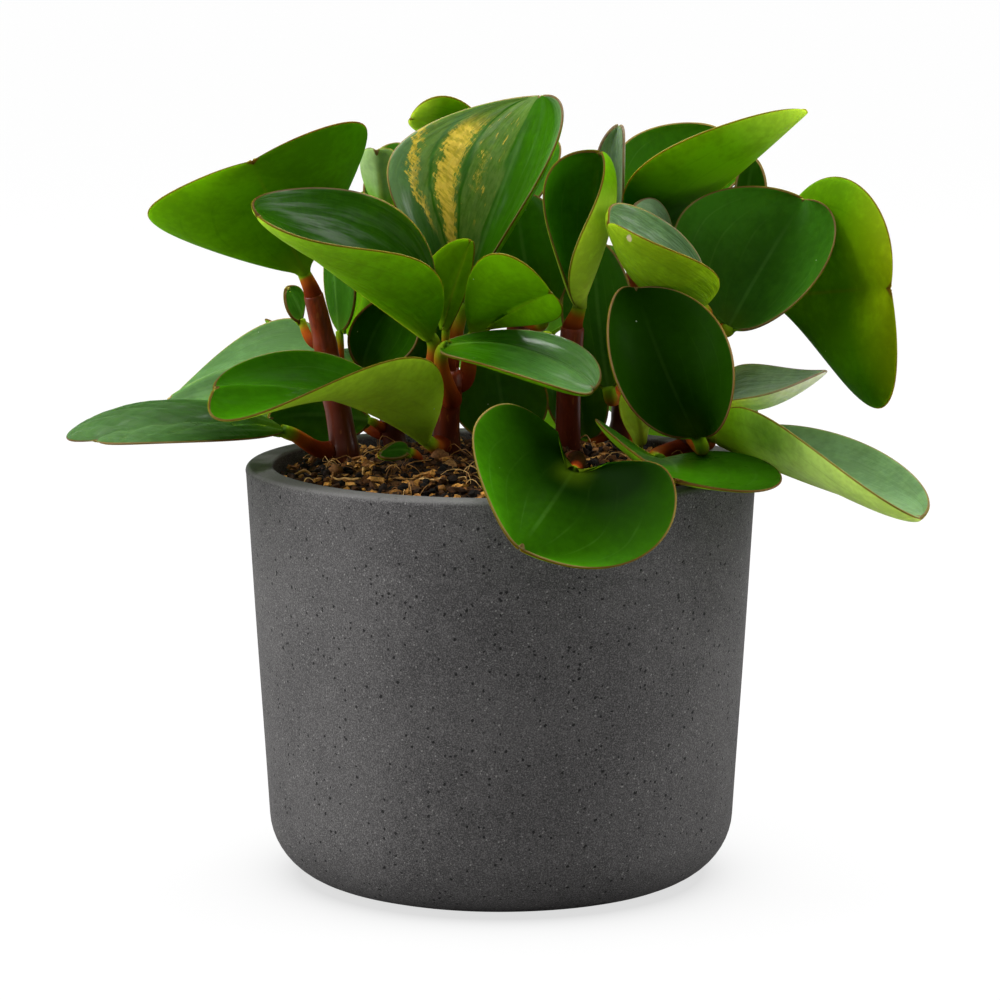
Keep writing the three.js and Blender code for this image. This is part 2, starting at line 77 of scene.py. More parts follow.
def soft_light(name, place, width, height, power):
    """A rectangular soft light whose face looks from its place towards the plant."""
    lamp = bpy.data.lights.new(name, "AREA")
    lamp.shape = "RECTANGLE"
    lamp.size = width
    lamp.size_y = height
    lamp.energy = power
    body = bpy.data.objects.new(name, lamp)
    aim = unit(np.subtract(PLANT_HEART, place))
    body.location = place
    body.rotation_euler = (math.acos(-aim[2]), 0, math.atan2(-aim[0], aim[1]))
    body.visible_camera = False
    bpy.context.scene.collection.objects.link(body)


for light_name, (place, width, height, power) in SOFT_LIGHTS.items():
    soft_light(light_name, place, width, height, power)

world = bpy.data.worlds.new("studio")
world.use_nodes = True
world.node_tree.nodes["Background"].inputs["Color"].default_value = (1, 1, 1, 1)
world.node_tree.nodes["Background"].inputs["Strength"].default_value = WORLD_GREY
bpy.context.scene.world = world

FLOOR_SIZE = 60.0
FLOOR_WHITE = 0.42  # how much light the sweep gives back to the plant
FLOOR_SEEN = 0.05  # how much of the light and shadow that falls on it is seen
FLOOR_NEAR = 0.3
FLOOR_FAR = 2.0
FLOOR_GLOW_NEAR = 0.94
FLOOR_GLOW_FAR = 0.962
# painted shadow round the foot of the pot: its strength, where it starts and how fast it fades
PAINTED_POT_SHADOW = 0.24
PAINTED_SHADOW_EDGE = 0.060
PAINTED_SHADOW_WIDTH = 0.0085


class Value:
    """What a node gives out. Its sums, differences and products add the Math node they need."""

    def __init__(self, graph, socket):
        self.graph = graph
        self.socket = socket

    def __add__(self, other):
        return self.graph.math("ADD", self, other)

    def __sub__(self, other):
        return self.graph.math("SUBTRACT", self, other)

    def __rsub__(self, other):
        return self.graph.math("SUBTRACT", other, self)

    def __mul__(self, other):
        return self.graph.math("MULTIPLY", self, other)


class Graph:
    """Short words for building a node tree: each call adds a node, links what it is given and
    returns what the node's first output gives, or the one asked for."""

    def __init__(self, tree):
        self.tree = tree

    def node(self, kind, inputs=(), out=0, **settings):
        made = self.tree.nodes.new(kind)
        for key, value in settings.items():
            setattr(made, key, value)
        for key, value in dict(inputs).items():
            self.give(made.inputs[key], value)
        return Value(self, made.outputs[out])

    def give(self, socket, value):
        """Links the socket to what a node gives, or sets its own value; a colour gets its alpha."""
        if isinstance(value, Value):
            self.link(value, socket)
        else:
            socket.default_value = (*value, 1) if socket.type == "RGBA" else value

    def math(self, operation, first, second=0.0):
        return self.node("ShaderNodeMath", {0: first, 1: second}, operation=operation)

    def mix(self, share, first, second):
        return self.node("ShaderNodeMix", {0: share, 6: first, 7: second}, out=2, data_type="RGBA")

    def ramp(self, value, low, high, out_low=0.0, out_high=1.0):
        """Share of the way from low to high, smooth at both ends."""
        return self.node("ShaderNodeMapRange", {0: value, 1: low, 2: high, 3: out_low, 4: out_high},
                         interpolation_type="SMOOTHSTEP")

    def noise(self, place, scale, detail=2.0, roughness=0.5):
        given = {"Vector": place, "Scale": scale, "Detail": detail, "Roughness": roughness}
        return self.node("ShaderNodeTexNoise", given)

    def cells(self, place, scale, out="Distance"):
        return self.node("ShaderNodeTexVoronoi", {"Vector": place, "Scale": scale}, out=out)

    def spots(self, place, scale, outer, inner, few, fewer, channel=0):
        """Round spots that fade in from `outer` to `inner`, in shares of a cell, and only in the cells
        whose own random colour is above `few`."""
        pick = self.node("ShaderNodeSeparateColor", {0: self.cells(place, scale, "Color")}, channel)
        return self.ramp(self.cells(place, scale), outer, inner) * self.ramp(pick, few, fewer)

    def object_place(self):
        return self.node("ShaderNodeTexCoord", out="Object")

    def attribute(self, name, out="Fac"):
        return self.node("ShaderNodeAttribute", out=out, attribute_name=name)

    def link(self, source, target):
        self.tree.links.new(source.socket, target)

    def use(self, group, values):
        """Places a node group with its own values and returns what it gives, by name."""
        made = self.tree.nodes.new("ShaderNodeGroup")
        made.node_tree = group
        for key, value in values.items():
            self.give(made.inputs[key], value)
        return self.named(made.outputs)

    def named(self, outputs):
        return {output.name: Value(self, output) for output in outputs}

    def cover(self, shader, colour, strength, distance, height):
        """Gives the shader its colour and a bump of the given strength, distance and height."""
        self.link(colour, shader.inputs["Base Color"])
        bump = self.node("ShaderNodeBump", {"Strength": strength, "Distance": distance, "Height": height})
        self.link(bump, shader.inputs["Normal"])


def new_material(name, colour, roughness, specular):
    """A node material with one Principled shader; returns the material, its Graph and that shader."""
    material = bpy.data.materials.new(name)
    material.use_nodes = True
    shader = material.node_tree.nodes["Principled BSDF"]
    shader.inputs["Base Color"].default_value = (*colour, 1)
    shader.inputs["Roughness"].default_value = roughness
    shader.inputs["Specular IOR Level"].default_value = specular
    material.diffuse_color = (*colour, 1)
    return material, Graph(material.node_tree), shader


def floor_material():
    """White paper sweep. What the eye sees of it is mostly an even glow, which a soft painted contact
    shadow dims round the foot of the pot: it falls off exponentially with the distance from the pot."""
    material, g, shader = new_material("white_sweep", (FLOOR_WHITE,) * 3, 0.9, 0.1)
    distance = g.node("ShaderNodeVectorMath", {0: g.object_place()}, "Value", operation="LENGTH")
    # painted shadow: the glow is dimmed close to the pot
    falling = g.math("DIVIDE", PAINTED_SHADOW_EDGE - distance, PAINTED_SHADOW_WIDTH)
    painted_shadow = g.math("EXPONENT", g.math("MINIMUM", falling, 0.0)) * PAINTED_POT_SHADOW
    glow = g.node("ShaderNodeMapRange", {0: distance, 1: FLOOR_NEAR, 2: FLOOR_FAR,
                                         3: FLOOR_GLOW_NEAR, 4: FLOOR_GLOW_FAR})
    seen = g.node("ShaderNodeLightPath", out="Is Camera Ray")
    g.link((glow - painted_shadow) * seen, shader.inputs["Emission Strength"])
    shader.inputs["Emission Color"].default_value = (1, 1, 1, 1)
    white = FLOOR_WHITE - seen * (FLOOR_WHITE - FLOOR_SEEN)
    g.link(white, shader.inputs["Base Color"])
    return material


half_floor = FLOOR_SIZE / 2
floor_mesh = bpy.data.meshes.new("floor")
floor_corners = [(x * half_floor, y * half_floor, 0) for x, y in ((-1, -1), (1, -1), (1, 1), (-1, 1))]
floor_mesh.from_pydata(floor_corners, [], [(0, 1, 2, 3)])
floor_mesh.materials.append(floor_material())
floor = bpy.data.objects.new("floor", floor_mesh)
bpy.context.scene.collection.objects.link(floor)

# ---------------------------------------------------------------- pot
# A cast concrete pot, slightly wider at the rim, with a round foot edge and a flat rounded rim.
# The cast leaves fine air pores and sand grains in a mottled dark grey, unglazed surface.
POT_HEIGHT = 0.122
RIM_RADIUS = 0.075
FOOT_RADIUS = 0.0676  # where the wall line would meet the floor
POT_WALL = 0.008
POT_BASE = 0.009
BOTTOM_ROUND = 0.018
INSIDE_ROUND = 0.012
RIM_ROUND = 0.0016
INNER_RIM_ROUND = 0.0008
POT_WAVER = 0.00012
POT_AROUND = 192


def pot_radius(z):
    """Outer radius of the wall at height z: a straight line from foot to rim."""
    return FOOT_RADIUS + (RIM_RADIUS - FOOT_RADIUS) * z / POT_HEIGHT


def quarter_round(radius_at, floor_height, round_size, steps):
    """Profile of the rounded corner from the flat bottom into the wall, as (radius, height) rows."""
    angle = np.linspace(0, math.pi / 2, steps)
    z = floor_height + round_size * (1 - np.cos(angle))
    return np.stack([radius_at(z) - round_size * (1 - np.sin(angle)), z], axis=1)


def smooth(mesh):
    """Shades all faces smooth."""
    mesh.polygons.foreach_set("use_smooth", np.ones(len(mesh.polygons), dtype=bool))
    mesh.update()


def ring_faces(count, around):
    """Faces over rings of points, each anticlockwise about the way the rings go: quads from each ring
    to the next, and fans over both ends from two middle points that are numbered after the rings."""
    i = np.arange(count - 1)[:, None] * around
    j = np.arange(around)
    k = (j + 1) % around
    quads = np.stack([i + j, i + k, i + around + k, i + around + j], axis=-1).reshape(-1, 4)
    end = (count - 1) * around
    first = np.stack([np.full(around, count * around), k, j], axis=1)
    last = np.stack([np.full(around, count * around + 1), end + j, end + k], axis=1)
    return quads, np.vstack([first, last])


def rings_mesh(name, rings):
    """A closed skin over rings of points (rings, points round, 3), with the mean of the first and of
    the last ring as the middle points of its ends."""
    quads, fans = ring_faces(*rings.shape[:2])
    points = np.vstack([rings.reshape(-1, 3), rings[0].mean(axis=0), rings[-1].mean(axis=0)])
    mesh = bpy.data.meshes.new(name)
    mesh.from_pydata(points.tolist(), [], quads.tolist() + fans.tolist())
    smooth(mesh)
    return mesh


def show(name, mesh, slot, materials, *nodes):
    """Puts a finished mesh in the scene as one piece of the object, standing for the named nodes."""
    for material in materials:
        mesh.materials.append(material)
    piece = bpy.data.objects.new(name, mesh)
    bpy.context.scene.collection.objects.link(piece)
    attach(piece, "root")
    if nodes:
        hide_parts(*nodes)
    return piece


def turned(profile, around):
    """Rings of points round Z, one for each (radius, height) row of the profile."""
    angle = np.linspace(0, 2 * math.pi, around, endpoint=False)
    radius, z = profile[:, :1], profile[:, 1:]
    return np.stack([radius * np.cos(angle), radius * np.sin(angle), z + 0 * angle], axis=-1)


def rim_arc(centre_radius, centre_height, size, start, stop, steps):
    """Part of a small circle in the profile, from one angle to another."""
    angle = np.radians(np.linspace(start, stop, steps))
    return np.stack([centre_radius + size * np.cos(angle), centre_height + size * np.sin(angle)], axis=1)


wall_heights = np.linspace(BOTTOM_ROUND * 1.1, POT_HEIGHT - RIM_ROUND * 1.6, 26)
inner_heights = np.linspace(POT_HEIGHT - RIM_ROUND, POT_BASE + INSIDE_ROUND * 1.1, 20)
pot_profile = np.vstack([
    quarter_round(pot_radius, 0, BOTTOM_ROUND, 14),
    np.stack([pot_radius(wall_heights), wall_heights], axis=1),
    rim_arc(RIM_RADIUS - RIM_ROUND, POT_HEIGHT - RIM_ROUND, RIM_ROUND, 2, 90, 8),
    rim_arc(RIM_RADIUS - POT_WALL + INNER_RIM_ROUND, POT_HEIGHT - INNER_RIM_ROUND, INNER_RIM_ROUND,
            90, 178, 6),
    np.stack([pot_radius(inner_heights) - POT_WALL, inner_heights], axis=1),
    quarter_round(lambda z: pot_radius(z) - POT_WALL, POT_BASE, INSIDE_ROUND, 8)[::-1],
])
pot_rings = turned(pot_profile, POT_AROUND)
# the hand-cast wall wavers by up to a quarter of a millimetre, inwards only
pot_angle = np.arctan2(pot_rings[..., 1], pot_rings[..., 0])
pot_heights = pot_rings[..., 2]
waver = np.sin(3 * pot_angle + 40 * pot_heights) * np.cos(5 * pot_angle - 25 * pot_heights)
waver = POT_WAVER * (1 + waver)
pot_rings[..., :2] *= (1 - waver / RIM_RADIUS)[..., None]


def new_group(name, inputs, outputs):
    """An empty shader node group with named sockets; returns the group, its Graph, what it is given,
    by name, and the sockets of its results."""
    group = bpy.data.node_groups.new(name, "ShaderNodeTree")
    kinds = {"value": "NodeSocketFloat", "colour": "NodeSocketColor", "vector": "NodeSocketVector"}
    for way, sockets in (("INPUT", inputs), ("OUTPUT", outputs)):
        for label, kind in sockets.items():
            group.interface.new_socket(label, in_out=way, socket_type=kinds[kind])
    g = Graph(group)
    given = g.named(group.nodes.new("NodeGroupInput").outputs)
    return group, g, given, group.nodes.new("NodeGroupOutput").inputs


def mottle_group():
    """Broad and fine cloudiness of a natural surface: two noises added, as a mask round one half."""
    group, g, given, result = new_group(
        "mottle", {"Place": "vector", "Broad": "value", "Fine": "value"}, {"Mask": "value"})
    broad = g.noise(given["Place"], given["Broad"], 3.0, 0.6)
    fine = g.noise(given["Place"], given["Fine"], 2.0, 0.6)
    both = broad * 0.65 + fine * 0.35
    g.link(both, result["Mask"])
    return group


MOTTLE = mottle_group()


def mottled(g, place, broad, fine):
    """The mottle mask at a place, with its two scales."""
    return g.use(MOTTLE, {"Place": place, "Broad": broad, "Fine": fine})["Mask"]


def concrete_material():
    """Dark grey concrete: cloudy grey with a fine salt-and-pepper grain, small ragged air pores cut
    into the surface and painted near black as painted shade, a few pale sand grains, and a rim top
    painted lighter, partly as rubbed wear and partly as painted light falling on it."""
    material, g, shader = new_material("grey_concrete", (0.070, 0.067, 0.067), 0.8, 0.35)
    place = g.object_place()
    cloud = mottled(g, place, 28.0, 260.0)
    grey = g.mix(g.ramp(cloud, 0.36, 0.64), (0.052, 0.0495, 0.0500), (0.080, 0.0765, 0.0765))
    patch = g.noise(place, 11.0, 2.0)
    grey = g.mix(g.ramp(patch, 0.45, 0.7, 0.0, 0.35), grey, (0.046, 0.044, 0.0445))
    grain = g.noise(place, 2500.0, 3.0, 0.8)
    grey = g.mix(g.ramp(grain, 0.50, 0.61, 0.0, 0.60), grey, (0.205, 0.198, 0.195))
    grey = g.mix(g.ramp(grain, 0.48, 0.38, 0.0, 0.66), grey, (0.015, 0.0145, 0.0145))
    # pores: only the cells whose own random colour is high have one, and few have a wide one
    stir = (g.noise(place, 1100.0, 1.0) - 0.5) * 0.0008
    stirred = g.node("ShaderNodeVectorMath", {0: place, 1: stir})
    small_pore = g.spots(stirred, 640.0, 0.30, 0.24, 0.86, 0.87)
    large_pore = g.spots(stirred, 210.0, 0.125, 0.10, 0.88, 0.89)
    pore_with_painted_shade = g.math("MAXIMUM", small_pore, large_pore)
    sand = g.spots(stirred, 1000.0, 0.30, 0.18, 0.89, 0.91, channel=1)
    grey = g.mix(sand * 0.6, grey, (0.32, 0.312, 0.3))
    # painted shade: each pore is painted near black for the shade that falls inside it
    grey = g.mix(pore_with_painted_shade * 0.95, grey, (0.004, 0.004, 0.004))
    height_here = g.node("ShaderNodeSeparateXYZ", {0: place}, out=2)
    # painted light, partly: the rim top is painted lighter, for rubbed wear and for the light that falls on
    # it
    rubbed_and_lit_rim = g.ramp(height_here, POT_HEIGHT - 0.0012, POT_HEIGHT - 0.0004, 0.0, 0.60)
    grey = g.mix(rubbed_and_lit_rim, grey, (0.175, 0.170, 0.168))
    tooth = g.noise(place, 1500.0, 2.0, 0.7)
    height = tooth * 0.35 - pore_with_painted_shade
    height = height + g.noise(place, 240.0, 2.0) * 0.5
    g.cover(shader, grey, 1.0, 0.0003, height)
    g.link(g.ramp(tooth, 0.3, 0.7, 0.7, 0.88), shader.inputs["Roughness"])
    return material


show("pot", rings_mesh("pot", pot_rings), "pot", [concrete_material()], "pot")

# ---------------------------------------------------------------- soil
# Loose potting mix that fills the pot to a few millimetres below the rim and rises to the middle:
# dark peat crumbs, lumps and split chips of bark, tan coir fibres and a few dry twigs on top.
SOIL_EDGE = 0.117
SOIL_MIDDLE = 0.1225
SOIL_LUMP = 0.0009
SOIL_GAP = 0.0003
SOIL_AROUND = 220
SOIL_RINGS = 84
SOIL_CRUMB = 0.00055  # height of the crumbs in the surface
SOIL_WAVES = 26
random = np.random.default_rng(7)

# stems: foot, middle and top of the axis, and the radius at the foot and at the top
STEMS = {
    "stem_left": ((-0.046, 0.014, 0.121), (-0.05, 0.013, 0.146), (-0.055, 0.009, 0.17), 0.0043, 0.0029),
    "stem_centre": ((-0.016, 0.014, 0.121), (-0.016, 0.012, 0.134), (-0.015, 0.009, 0.147), 0.004, 0.0037),
    "stem_middle": ((0.02, 0.018, 0.121), (0.02, 0.014, 0.14), (0.021, 0.01, 0.16), 0.0038, 0.0035),
    "stem_right": ((0.056, 0.016, 0.119), (0.058, 0.012, 0.144), (0.062, 0.012, 0.166), 0.0038, 0.0032),
    "stem_back_left": ((-0.032, 0.046, 0.119), (-0.035, 0.048, 0.147), (-0.036, 0.05, 0.18), 0.0036, 0.003),
    "stem_back": ((0.003, 0.044, 0.119), (0.005, 0.042, 0.153), (0.007, 0.04, 0.188), 0.0036, 0.003),
    "stem_back_right": ((0.036, 0.046, 0.118), (0.039, 0.043, 0.15), (0.042, 0.04, 0.181), 0.0036, 0.003),
    "stem_front": ((0.017, -0.016, 0.12), (0.019, -0.03, 0.126), (0.021, -0.042, 0.129), 0.003, 0.0026),
}

crumb_waves = random.normal(0, 1, (SOIL_WAVES, 2))
crumb_waves *= (random.uniform(420, 1500, SOIL_WAVES) / np.linalg.norm(crumb_waves, axis=1))[:, None]
crumb_phase = random.uniform(0, 2 * math.pi, SOIL_WAVES)
inner_wall = pot_radius(SOIL_EDGE) - POT_WALL - SOIL_GAP


def soil_height(x, y):
    """Height of the soil: a mound that falls off with the cube of the radius, plus slow lumps round
    the pot, plus crumbs as a sum of short waves in all directions."""
    share = np.clip(np.hypot(x, y) / inner_wall, 0, 1)
    angle = np.arctan2(y, x)
    mound = SOIL_MIDDLE - (SOIL_MIDDLE - SOIL_EDGE) * share ** 3
    lumps = SOIL_LUMP * 0.5 * (np.sin(5 * angle + 9 * share) + np.sin(11 * angle - 14 * share))
    phases = x[..., None] * crumb_waves[:, 0] + y[..., None] * crumb_waves[:, 1] + crumb_phase
    crumbs = np.sin(phases).sum(axis=-1) / math.sqrt(SOIL_WAVES)
    return mound + lumps * (share < 1) + SOIL_CRUMB * crumbs


soil_side = quarter_round(
    lambda z: pot_radius(z) - POT_WALL - SOIL_GAP, POT_BASE + SOIL_GAP, INSIDE_ROUND, 6)
soil_side_rings = turned(soil_side, SOIL_AROUND)
top_share = np.linspace(1, 0.01, SOIL_RINGS)
top_angle = np.linspace(0, 2 * math.pi, SOIL_AROUND, endpoint=False)
top_x = inner_wall * top_share[:, None] * np.cos(top_angle)
top_y = inner_wall * top_share[:, None] * np.sin(top_angle)
soil_top_rings = np.stack([top_x, top_y, soil_height(top_x, top_y)], axis=-1)
soil_rings = np.concatenate([soil_side_rings, soil_top_rings])


def peat_material():
    """Near-black moist peat with brown fibres in it: colour by fine noise, all matt."""
    material, g, shader = new_material("peat", (0.03, 0.015, 0.008), 0.9, 0.2)
    place = g.object_place()
    cloud = mottled(g, place, 160.0, 1100.0)
    brown = g.mix(g.ramp(cloud, 0.38, 0.66), (0.003, 0.0015, 0.0006), (0.125, 0.052, 0.013))
    g.cover(shader, brown, 0.9, 0.0012, g.noise(place, 700.0, 3.0, 0.7))
    return material


show("soil", rings_mesh("soil", soil_rings), "soil", [peat_material()], "soil")


def clear_places(count, edge, spare):
    """Random places on the soil out to `edge`, even by area, at least `spare` away from every stem."""
    radius = edge * np.sqrt(random.uniform(0, 1, count * 2))
    angle = random.uniform(0, 2 * math.pi, count * 2)
    x, y = radius * np.cos(angle), radius * np.sin(angle)
    feet = np.array([(*foot[:2], thick) for foot, _, _, thick, _ in STEMS.values()])
    away = np.hypot(x[:, None] - feet[:, 0], y[:, None] - feet[:, 1]) - feet[:, 2]
    keep = away.min(axis=1) > spare
    return x[keep][:count], y[keep][:count]


def turns(count, tilt):
    """Random rotation matrices: any turn about Z after a tilt of up to `tilt` about X and Y."""
    a, b = random.uniform(-tilt, tilt, (2, count))
    c = random.uniform(0, 2 * math.pi, count)
    zero, one = np.zeros(count), np.ones(count)
    about_x = np.array([[one, zero, zero], [zero, np.cos(a), -np.sin(a)], [zero, np.sin(a), np.cos(a)]])
    about_y = np.array([[np.cos(b), zero, np.sin(b)], [zero, one, zero], [-np.sin(b), zero, np.cos(b)]])
    about_z = np.array([[np.cos(c), -np.sin(c), zero], [np.sin(c), np.cos(c), zero], [zero, zero, one]])
    return np.einsum("ijn,jkn,kln->nil", about_z, about_y, about_x)


def many(name, points, faces, tones, ends=()):
    """One mesh of many copies: points (copies, corners, 3), the faces of one copy, its end faces,
    which may have more corners, and one tone for each copy kept as an attribute."""
    copies, corners = points.shape[:2]
    shift = (np.arange(copies) * corners)[:, None, None]
    mesh = bpy.data.meshes.new(name)
    all_faces = (np.array(faces) + shift).reshape(-1, len(faces[0])).tolist()
    for end in ends:
        all_faces += (np.array(end) + shift[..., 0]).tolist()
    mesh.from_pydata(points.reshape(-1, 3).tolist(), [], all_faces)
    tone = mesh.attributes.new("tone", "FLOAT", "POINT")
    tone.data.foreach_set("value", np.repeat(tones, corners).astype(np.float32))
    mesh.update()
    return mesh


def litter_material(name, dark, middle, pale, roughness, grain):
    """Dry plant litter: each bit has its own tone from dark through middle to pale, with fine streaks.
    The pale end, near full white, is partly the bits' own pale tone and partly painted glints.
    """
    material, g, shader = new_material(name, middle, roughness, 0.25)
    place = g.object_place()
    tone = g.attribute("tone")
    colour = g.mix(g.ramp(tone, 0.0, 0.55), dark, middle)
    colour = g.mix(g.ramp(tone, 0.55, 1.0), colour, pale)
    streak = g.noise(place, grain, 2.0, 0.7)
    colour = g.mix(g.ramp(streak, 0.35, 0.7, 0.0, 0.6), colour, dark)
    g.cover(shader, colour, 0.6, 0.0003, streak)
    return material


# crumbs of peat: twenty-faced lumps with every corner pushed in or out
GOLD = (1 + math.sqrt(5)) / 2
lump_corners = np.array([
    (-1, GOLD, 0), (1, GOLD, 0), (-1, -GOLD, 0), (1, -GOLD, 0),
    (0, -1, GOLD), (0, 1, GOLD), (0, -1, -GOLD), (0, 1, -GOLD),
    (GOLD, 0, -1), (GOLD, 0, 1), (-GOLD, 0, -1), (-GOLD, 0, 1),
])
lump_corners = lump_corners / np.linalg.norm(lump_corners[0])
lump_faces = [
    (0, 11, 5), (0, 5, 1), (0, 1, 7), (0, 7, 10), (0, 10, 11),
    (1, 5, 9), (5, 11, 4), (11, 10, 2), (10, 7, 6), (7, 1, 8),
    (3, 9, 4), (3, 4, 2), (3, 2, 6), (3, 6, 8), (3, 8, 9),
    (4, 9, 5), (2, 4, 11), (6, 2, 10), (8, 6, 7), (9, 8, 1),
]
CRUMBS = 3400
CRUMB_SMALL = 0.0004
CRUMB_LARGE = 0.0018
CRUMB_SHAPE = (1.25, 0.9, 0.8)  # how far a lump is stretched or flattened each way


def crumbs(name):
    """Lumps between a small and a large radius, flattened, turned at random and half sunk in the soil."""
    x, y = clear_places(CRUMBS, inner_wall - CRUMB_LARGE, 0.0008)
    count = len(x)
    size = CRUMB_SMALL + (CRUMB_LARGE - CRUMB_SMALL) * random.uniform(0, 1, count) ** 2.2
    shape = lump_corners[None] * random.uniform(0.68, 1.18, (count, 12, 1)) * np.array(CRUMB_SHAPE)
    shape = np.einsum("nij,nkj->nki", turns(count, 0.6), shape) * size[:, None, None]
    z = soil_height(x, y) + size * random.uniform(-0.3, 0.7, count)
    points = shape + np.stack([x, y, z], axis=1)[:, None, :]
    return many(name, points, lump_faces, random.uniform(0, 1, count) ** 2.6)


# pale tone near full white: partly light crumbs, partly painted glints
peat_crumb_material = litter_material(
    "peat_crumb", (0.004, 0.0015, 0.0006), (0.110, 0.039, 0.007), (1.0, 0.46, 0.09), 0.85, 1400.0)
show("peat_crumbs", crumbs("peat_crumbs"), "soil", [peat_crumb_material])

# larger lumps of bark that lie on top: place of the middle and size
BARK_LUMPS = [
    ((-0.0178, -0.0010, 0.1238), 0.0029),
    ((-0.0150, -0.0170, 0.1228), 0.0030),
    ((-0.0480, -0.0120, 0.1215), 0.0024),
    ((-0.0350, -0.0290, 0.1208), 0.0022),
    ((-0.0250, -0.0380, 0.1205), 0.0024),
    ((0.0350, -0.0200, 0.1225), 0.0026),
    ((0.0120, 0.0560, 0.1210), 0.0027),
    ((-0.0450, 0.0350, 0.1208), 0.0025),
]
LUMP_AROUND = 9
LUMP_SHAPE = (1.15, 0.9, 0.8)


def bark_lumps(name):
    """Round lumps: rings of a ball, with each point pushed in or out, then stretched and turned."""
    tilt = np.radians([-72, -36, 0, 36, 72])
    ball = turned(np.stack([np.cos(tilt), np.sin(tilt)], axis=1), LUMP_AROUND).reshape(-1, 3)
    ball = np.concatenate([ball, [[0, 0, -1.0], [0, 0, 1.0]]])
    made = []
    for place, size in BARK_LUMPS:
        pushed = ball * random.uniform(0.78, 1.15, (len(ball), 1)) * size * np.array(LUMP_SHAPE)
        made.append(pushed @ turns(1, 0.4)[0].T + np.array(place))
    quads, fans = ring_faces(len(tilt), LUMP_AROUND)
    faces = np.vstack([quads[:, [0, 1, 2]], quads[:, [0, 2, 3]], fans])
    mesh = many(name, np.array(made), faces, random.uniform(0.45, 0.85, len(made)))
    smooth(mesh)
    return mesh


bark_lump_material = litter_material(
    "bark_lump", (0.03, 0.010, 0.003), (0.24, 0.10, 0.028), (0.55, 0.28, 0.09), 0.8, 1100.0)
show("bark_lumps", bark_lumps("bark_lumps"), "soil", [bark_lump_material])

# bark chips: split slabs with eight uneven corners
chip_corners = np.array([(x, y, z) for z in (-1, 1) for y in (-1, 1) for x in (-1, 1)], dtype=float)
chip_faces = [(0, 2, 3, 1), (4, 5, 7, 6), (0, 1, 5, 4), (2, 6, 7, 3), (0, 4, 6, 2), (1, 3, 7, 5)]
CHIPS = 380
CHIP_LIFT = 0.0007
LITTER_EDGE = 0.004  # how far chips and fibres keep from the pot
CHIP_SIZES = [(0.0008, 0.0026), (0.0005, 0.0013), (0.00025, 0.0007)]  # half length, width and thickness
chip_x, chip_y = clear_places(CHIPS, inner_wall - LITTER_EDGE, 0.002)
CHIPS = len(chip_x)
chip_size = np.stack([random.uniform(low, high, CHIPS) for low, high in CHIP_SIZES], axis=1)
chip_points = chip_corners[None] * chip_size[:, None, :] * random.uniform(0.55, 1.15, (CHIPS, 8, 3))
chip_points = np.einsum("nij,nkj->nki", turns(CHIPS, 0.55), chip_points)
chip_points += np.stack([chip_x, chip_y, soil_height(chip_x, chip_y) + CHIP_LIFT], axis=1)[:, None, :]
# pale tone near full white: partly light chips, partly painted glints
bark_material = litter_material(
    "bark", (0.02, 0.007, 0.002), (0.34, 0.125, 0.022), (1.0, 0.50, 0.12), 0.75, 900.0)
chip_tones = random.uniform(0, 1, CHIPS) ** 1.5
show("bark_chips", many("bark_chips", chip_points, chip_faces, chip_tones), "soil", [bark_material])


STRAND_LIFT = 0.0006


def strands(name, start, heading, length, curl, rise, radius, tones, rings=8, sides=5):
    """Thin round strands that lie on the soil: each runs from its start along its heading, which
    turns by `curl` on the way, and bows up by `rise` halfway. Points (strands, rings, sides, 3)."""
    t = np.linspace(0, 1, rings)
    way = heading[:, None] + curl[:, None] * (t - 0.5)
    step = length[:, None] / (rings - 1)
    x = start[:, :1] + np.cumsum(np.cos(way) * step, axis=1) - np.cos(way[:, :1]) * step
    y = start[:, 1:2] + np.cumsum(np.sin(way) * step, axis=1) - np.sin(way[:, :1]) * step
    inside = np.minimum(1, (inner_wall - 0.001) / np.hypot(x, y))
    x, y = x * inside, y * inside
    z = soil_height(x, y) + STRAND_LIFT + rise[:, None] * np.sin(math.pi * t) + radius[:, None]
    path = np.stack([x, y, z], axis=-1)
    along = unit(np.gradient(path, axis=1))
    side = unit(np.cross(along, [0.0, 0.0, 1.0]))
    up = np.cross(side, along)
    taper = radius[:, None] * (1 - 0.55 * np.abs(2 * t - 1) ** 3)
    angle = np.linspace(0, 2 * math.pi, sides, endpoint=False)[::-1]
    ring = side[:, :, None] * np.cos(angle)[:, None] + up[:, :, None] * np.sin(angle)[:, None]
    points = (path[:, :, None] + ring * taper[..., None, None]).reshape(len(start), rings * sides, 3)
    corners = np.arange(sides)
    ends = [corners[::-1], (rings - 1) * sides + corners]
    mesh = many(name, points, ring_faces(rings, sides)[0], tones, ends)
    smooth(mesh)
    return mesh


FIBRES = 170
fibre_x, fibre_y = clear_places(FIBRES, inner_wall - LITTER_EDGE, 0.001)
FIBRES = len(fibre_x)
# pale tone near full white: partly light straws, partly painted glints
coir_material = litter_material(
    "coir", (0.10, 0.036, 0.008), (0.50, 0.23, 0.055), (1.0, 0.62, 0.22), 0.6, 700.0)
show("coir_fibres", strands(
    "coir_fibres", np.stack([fibre_x, fibre_y], axis=1), random.uniform(0, 2 * math.pi, FIBRES),
    random.uniform(0.004, 0.014, FIBRES), random.uniform(-2.4, 2.4, FIBRES),
    random.uniform(0.0, 0.0036, FIBRES), random.uniform(0.00008, 0.00019, FIBRES),
    random.uniform(0.1, 1.0, FIBRES)), "soil", [coir_material])

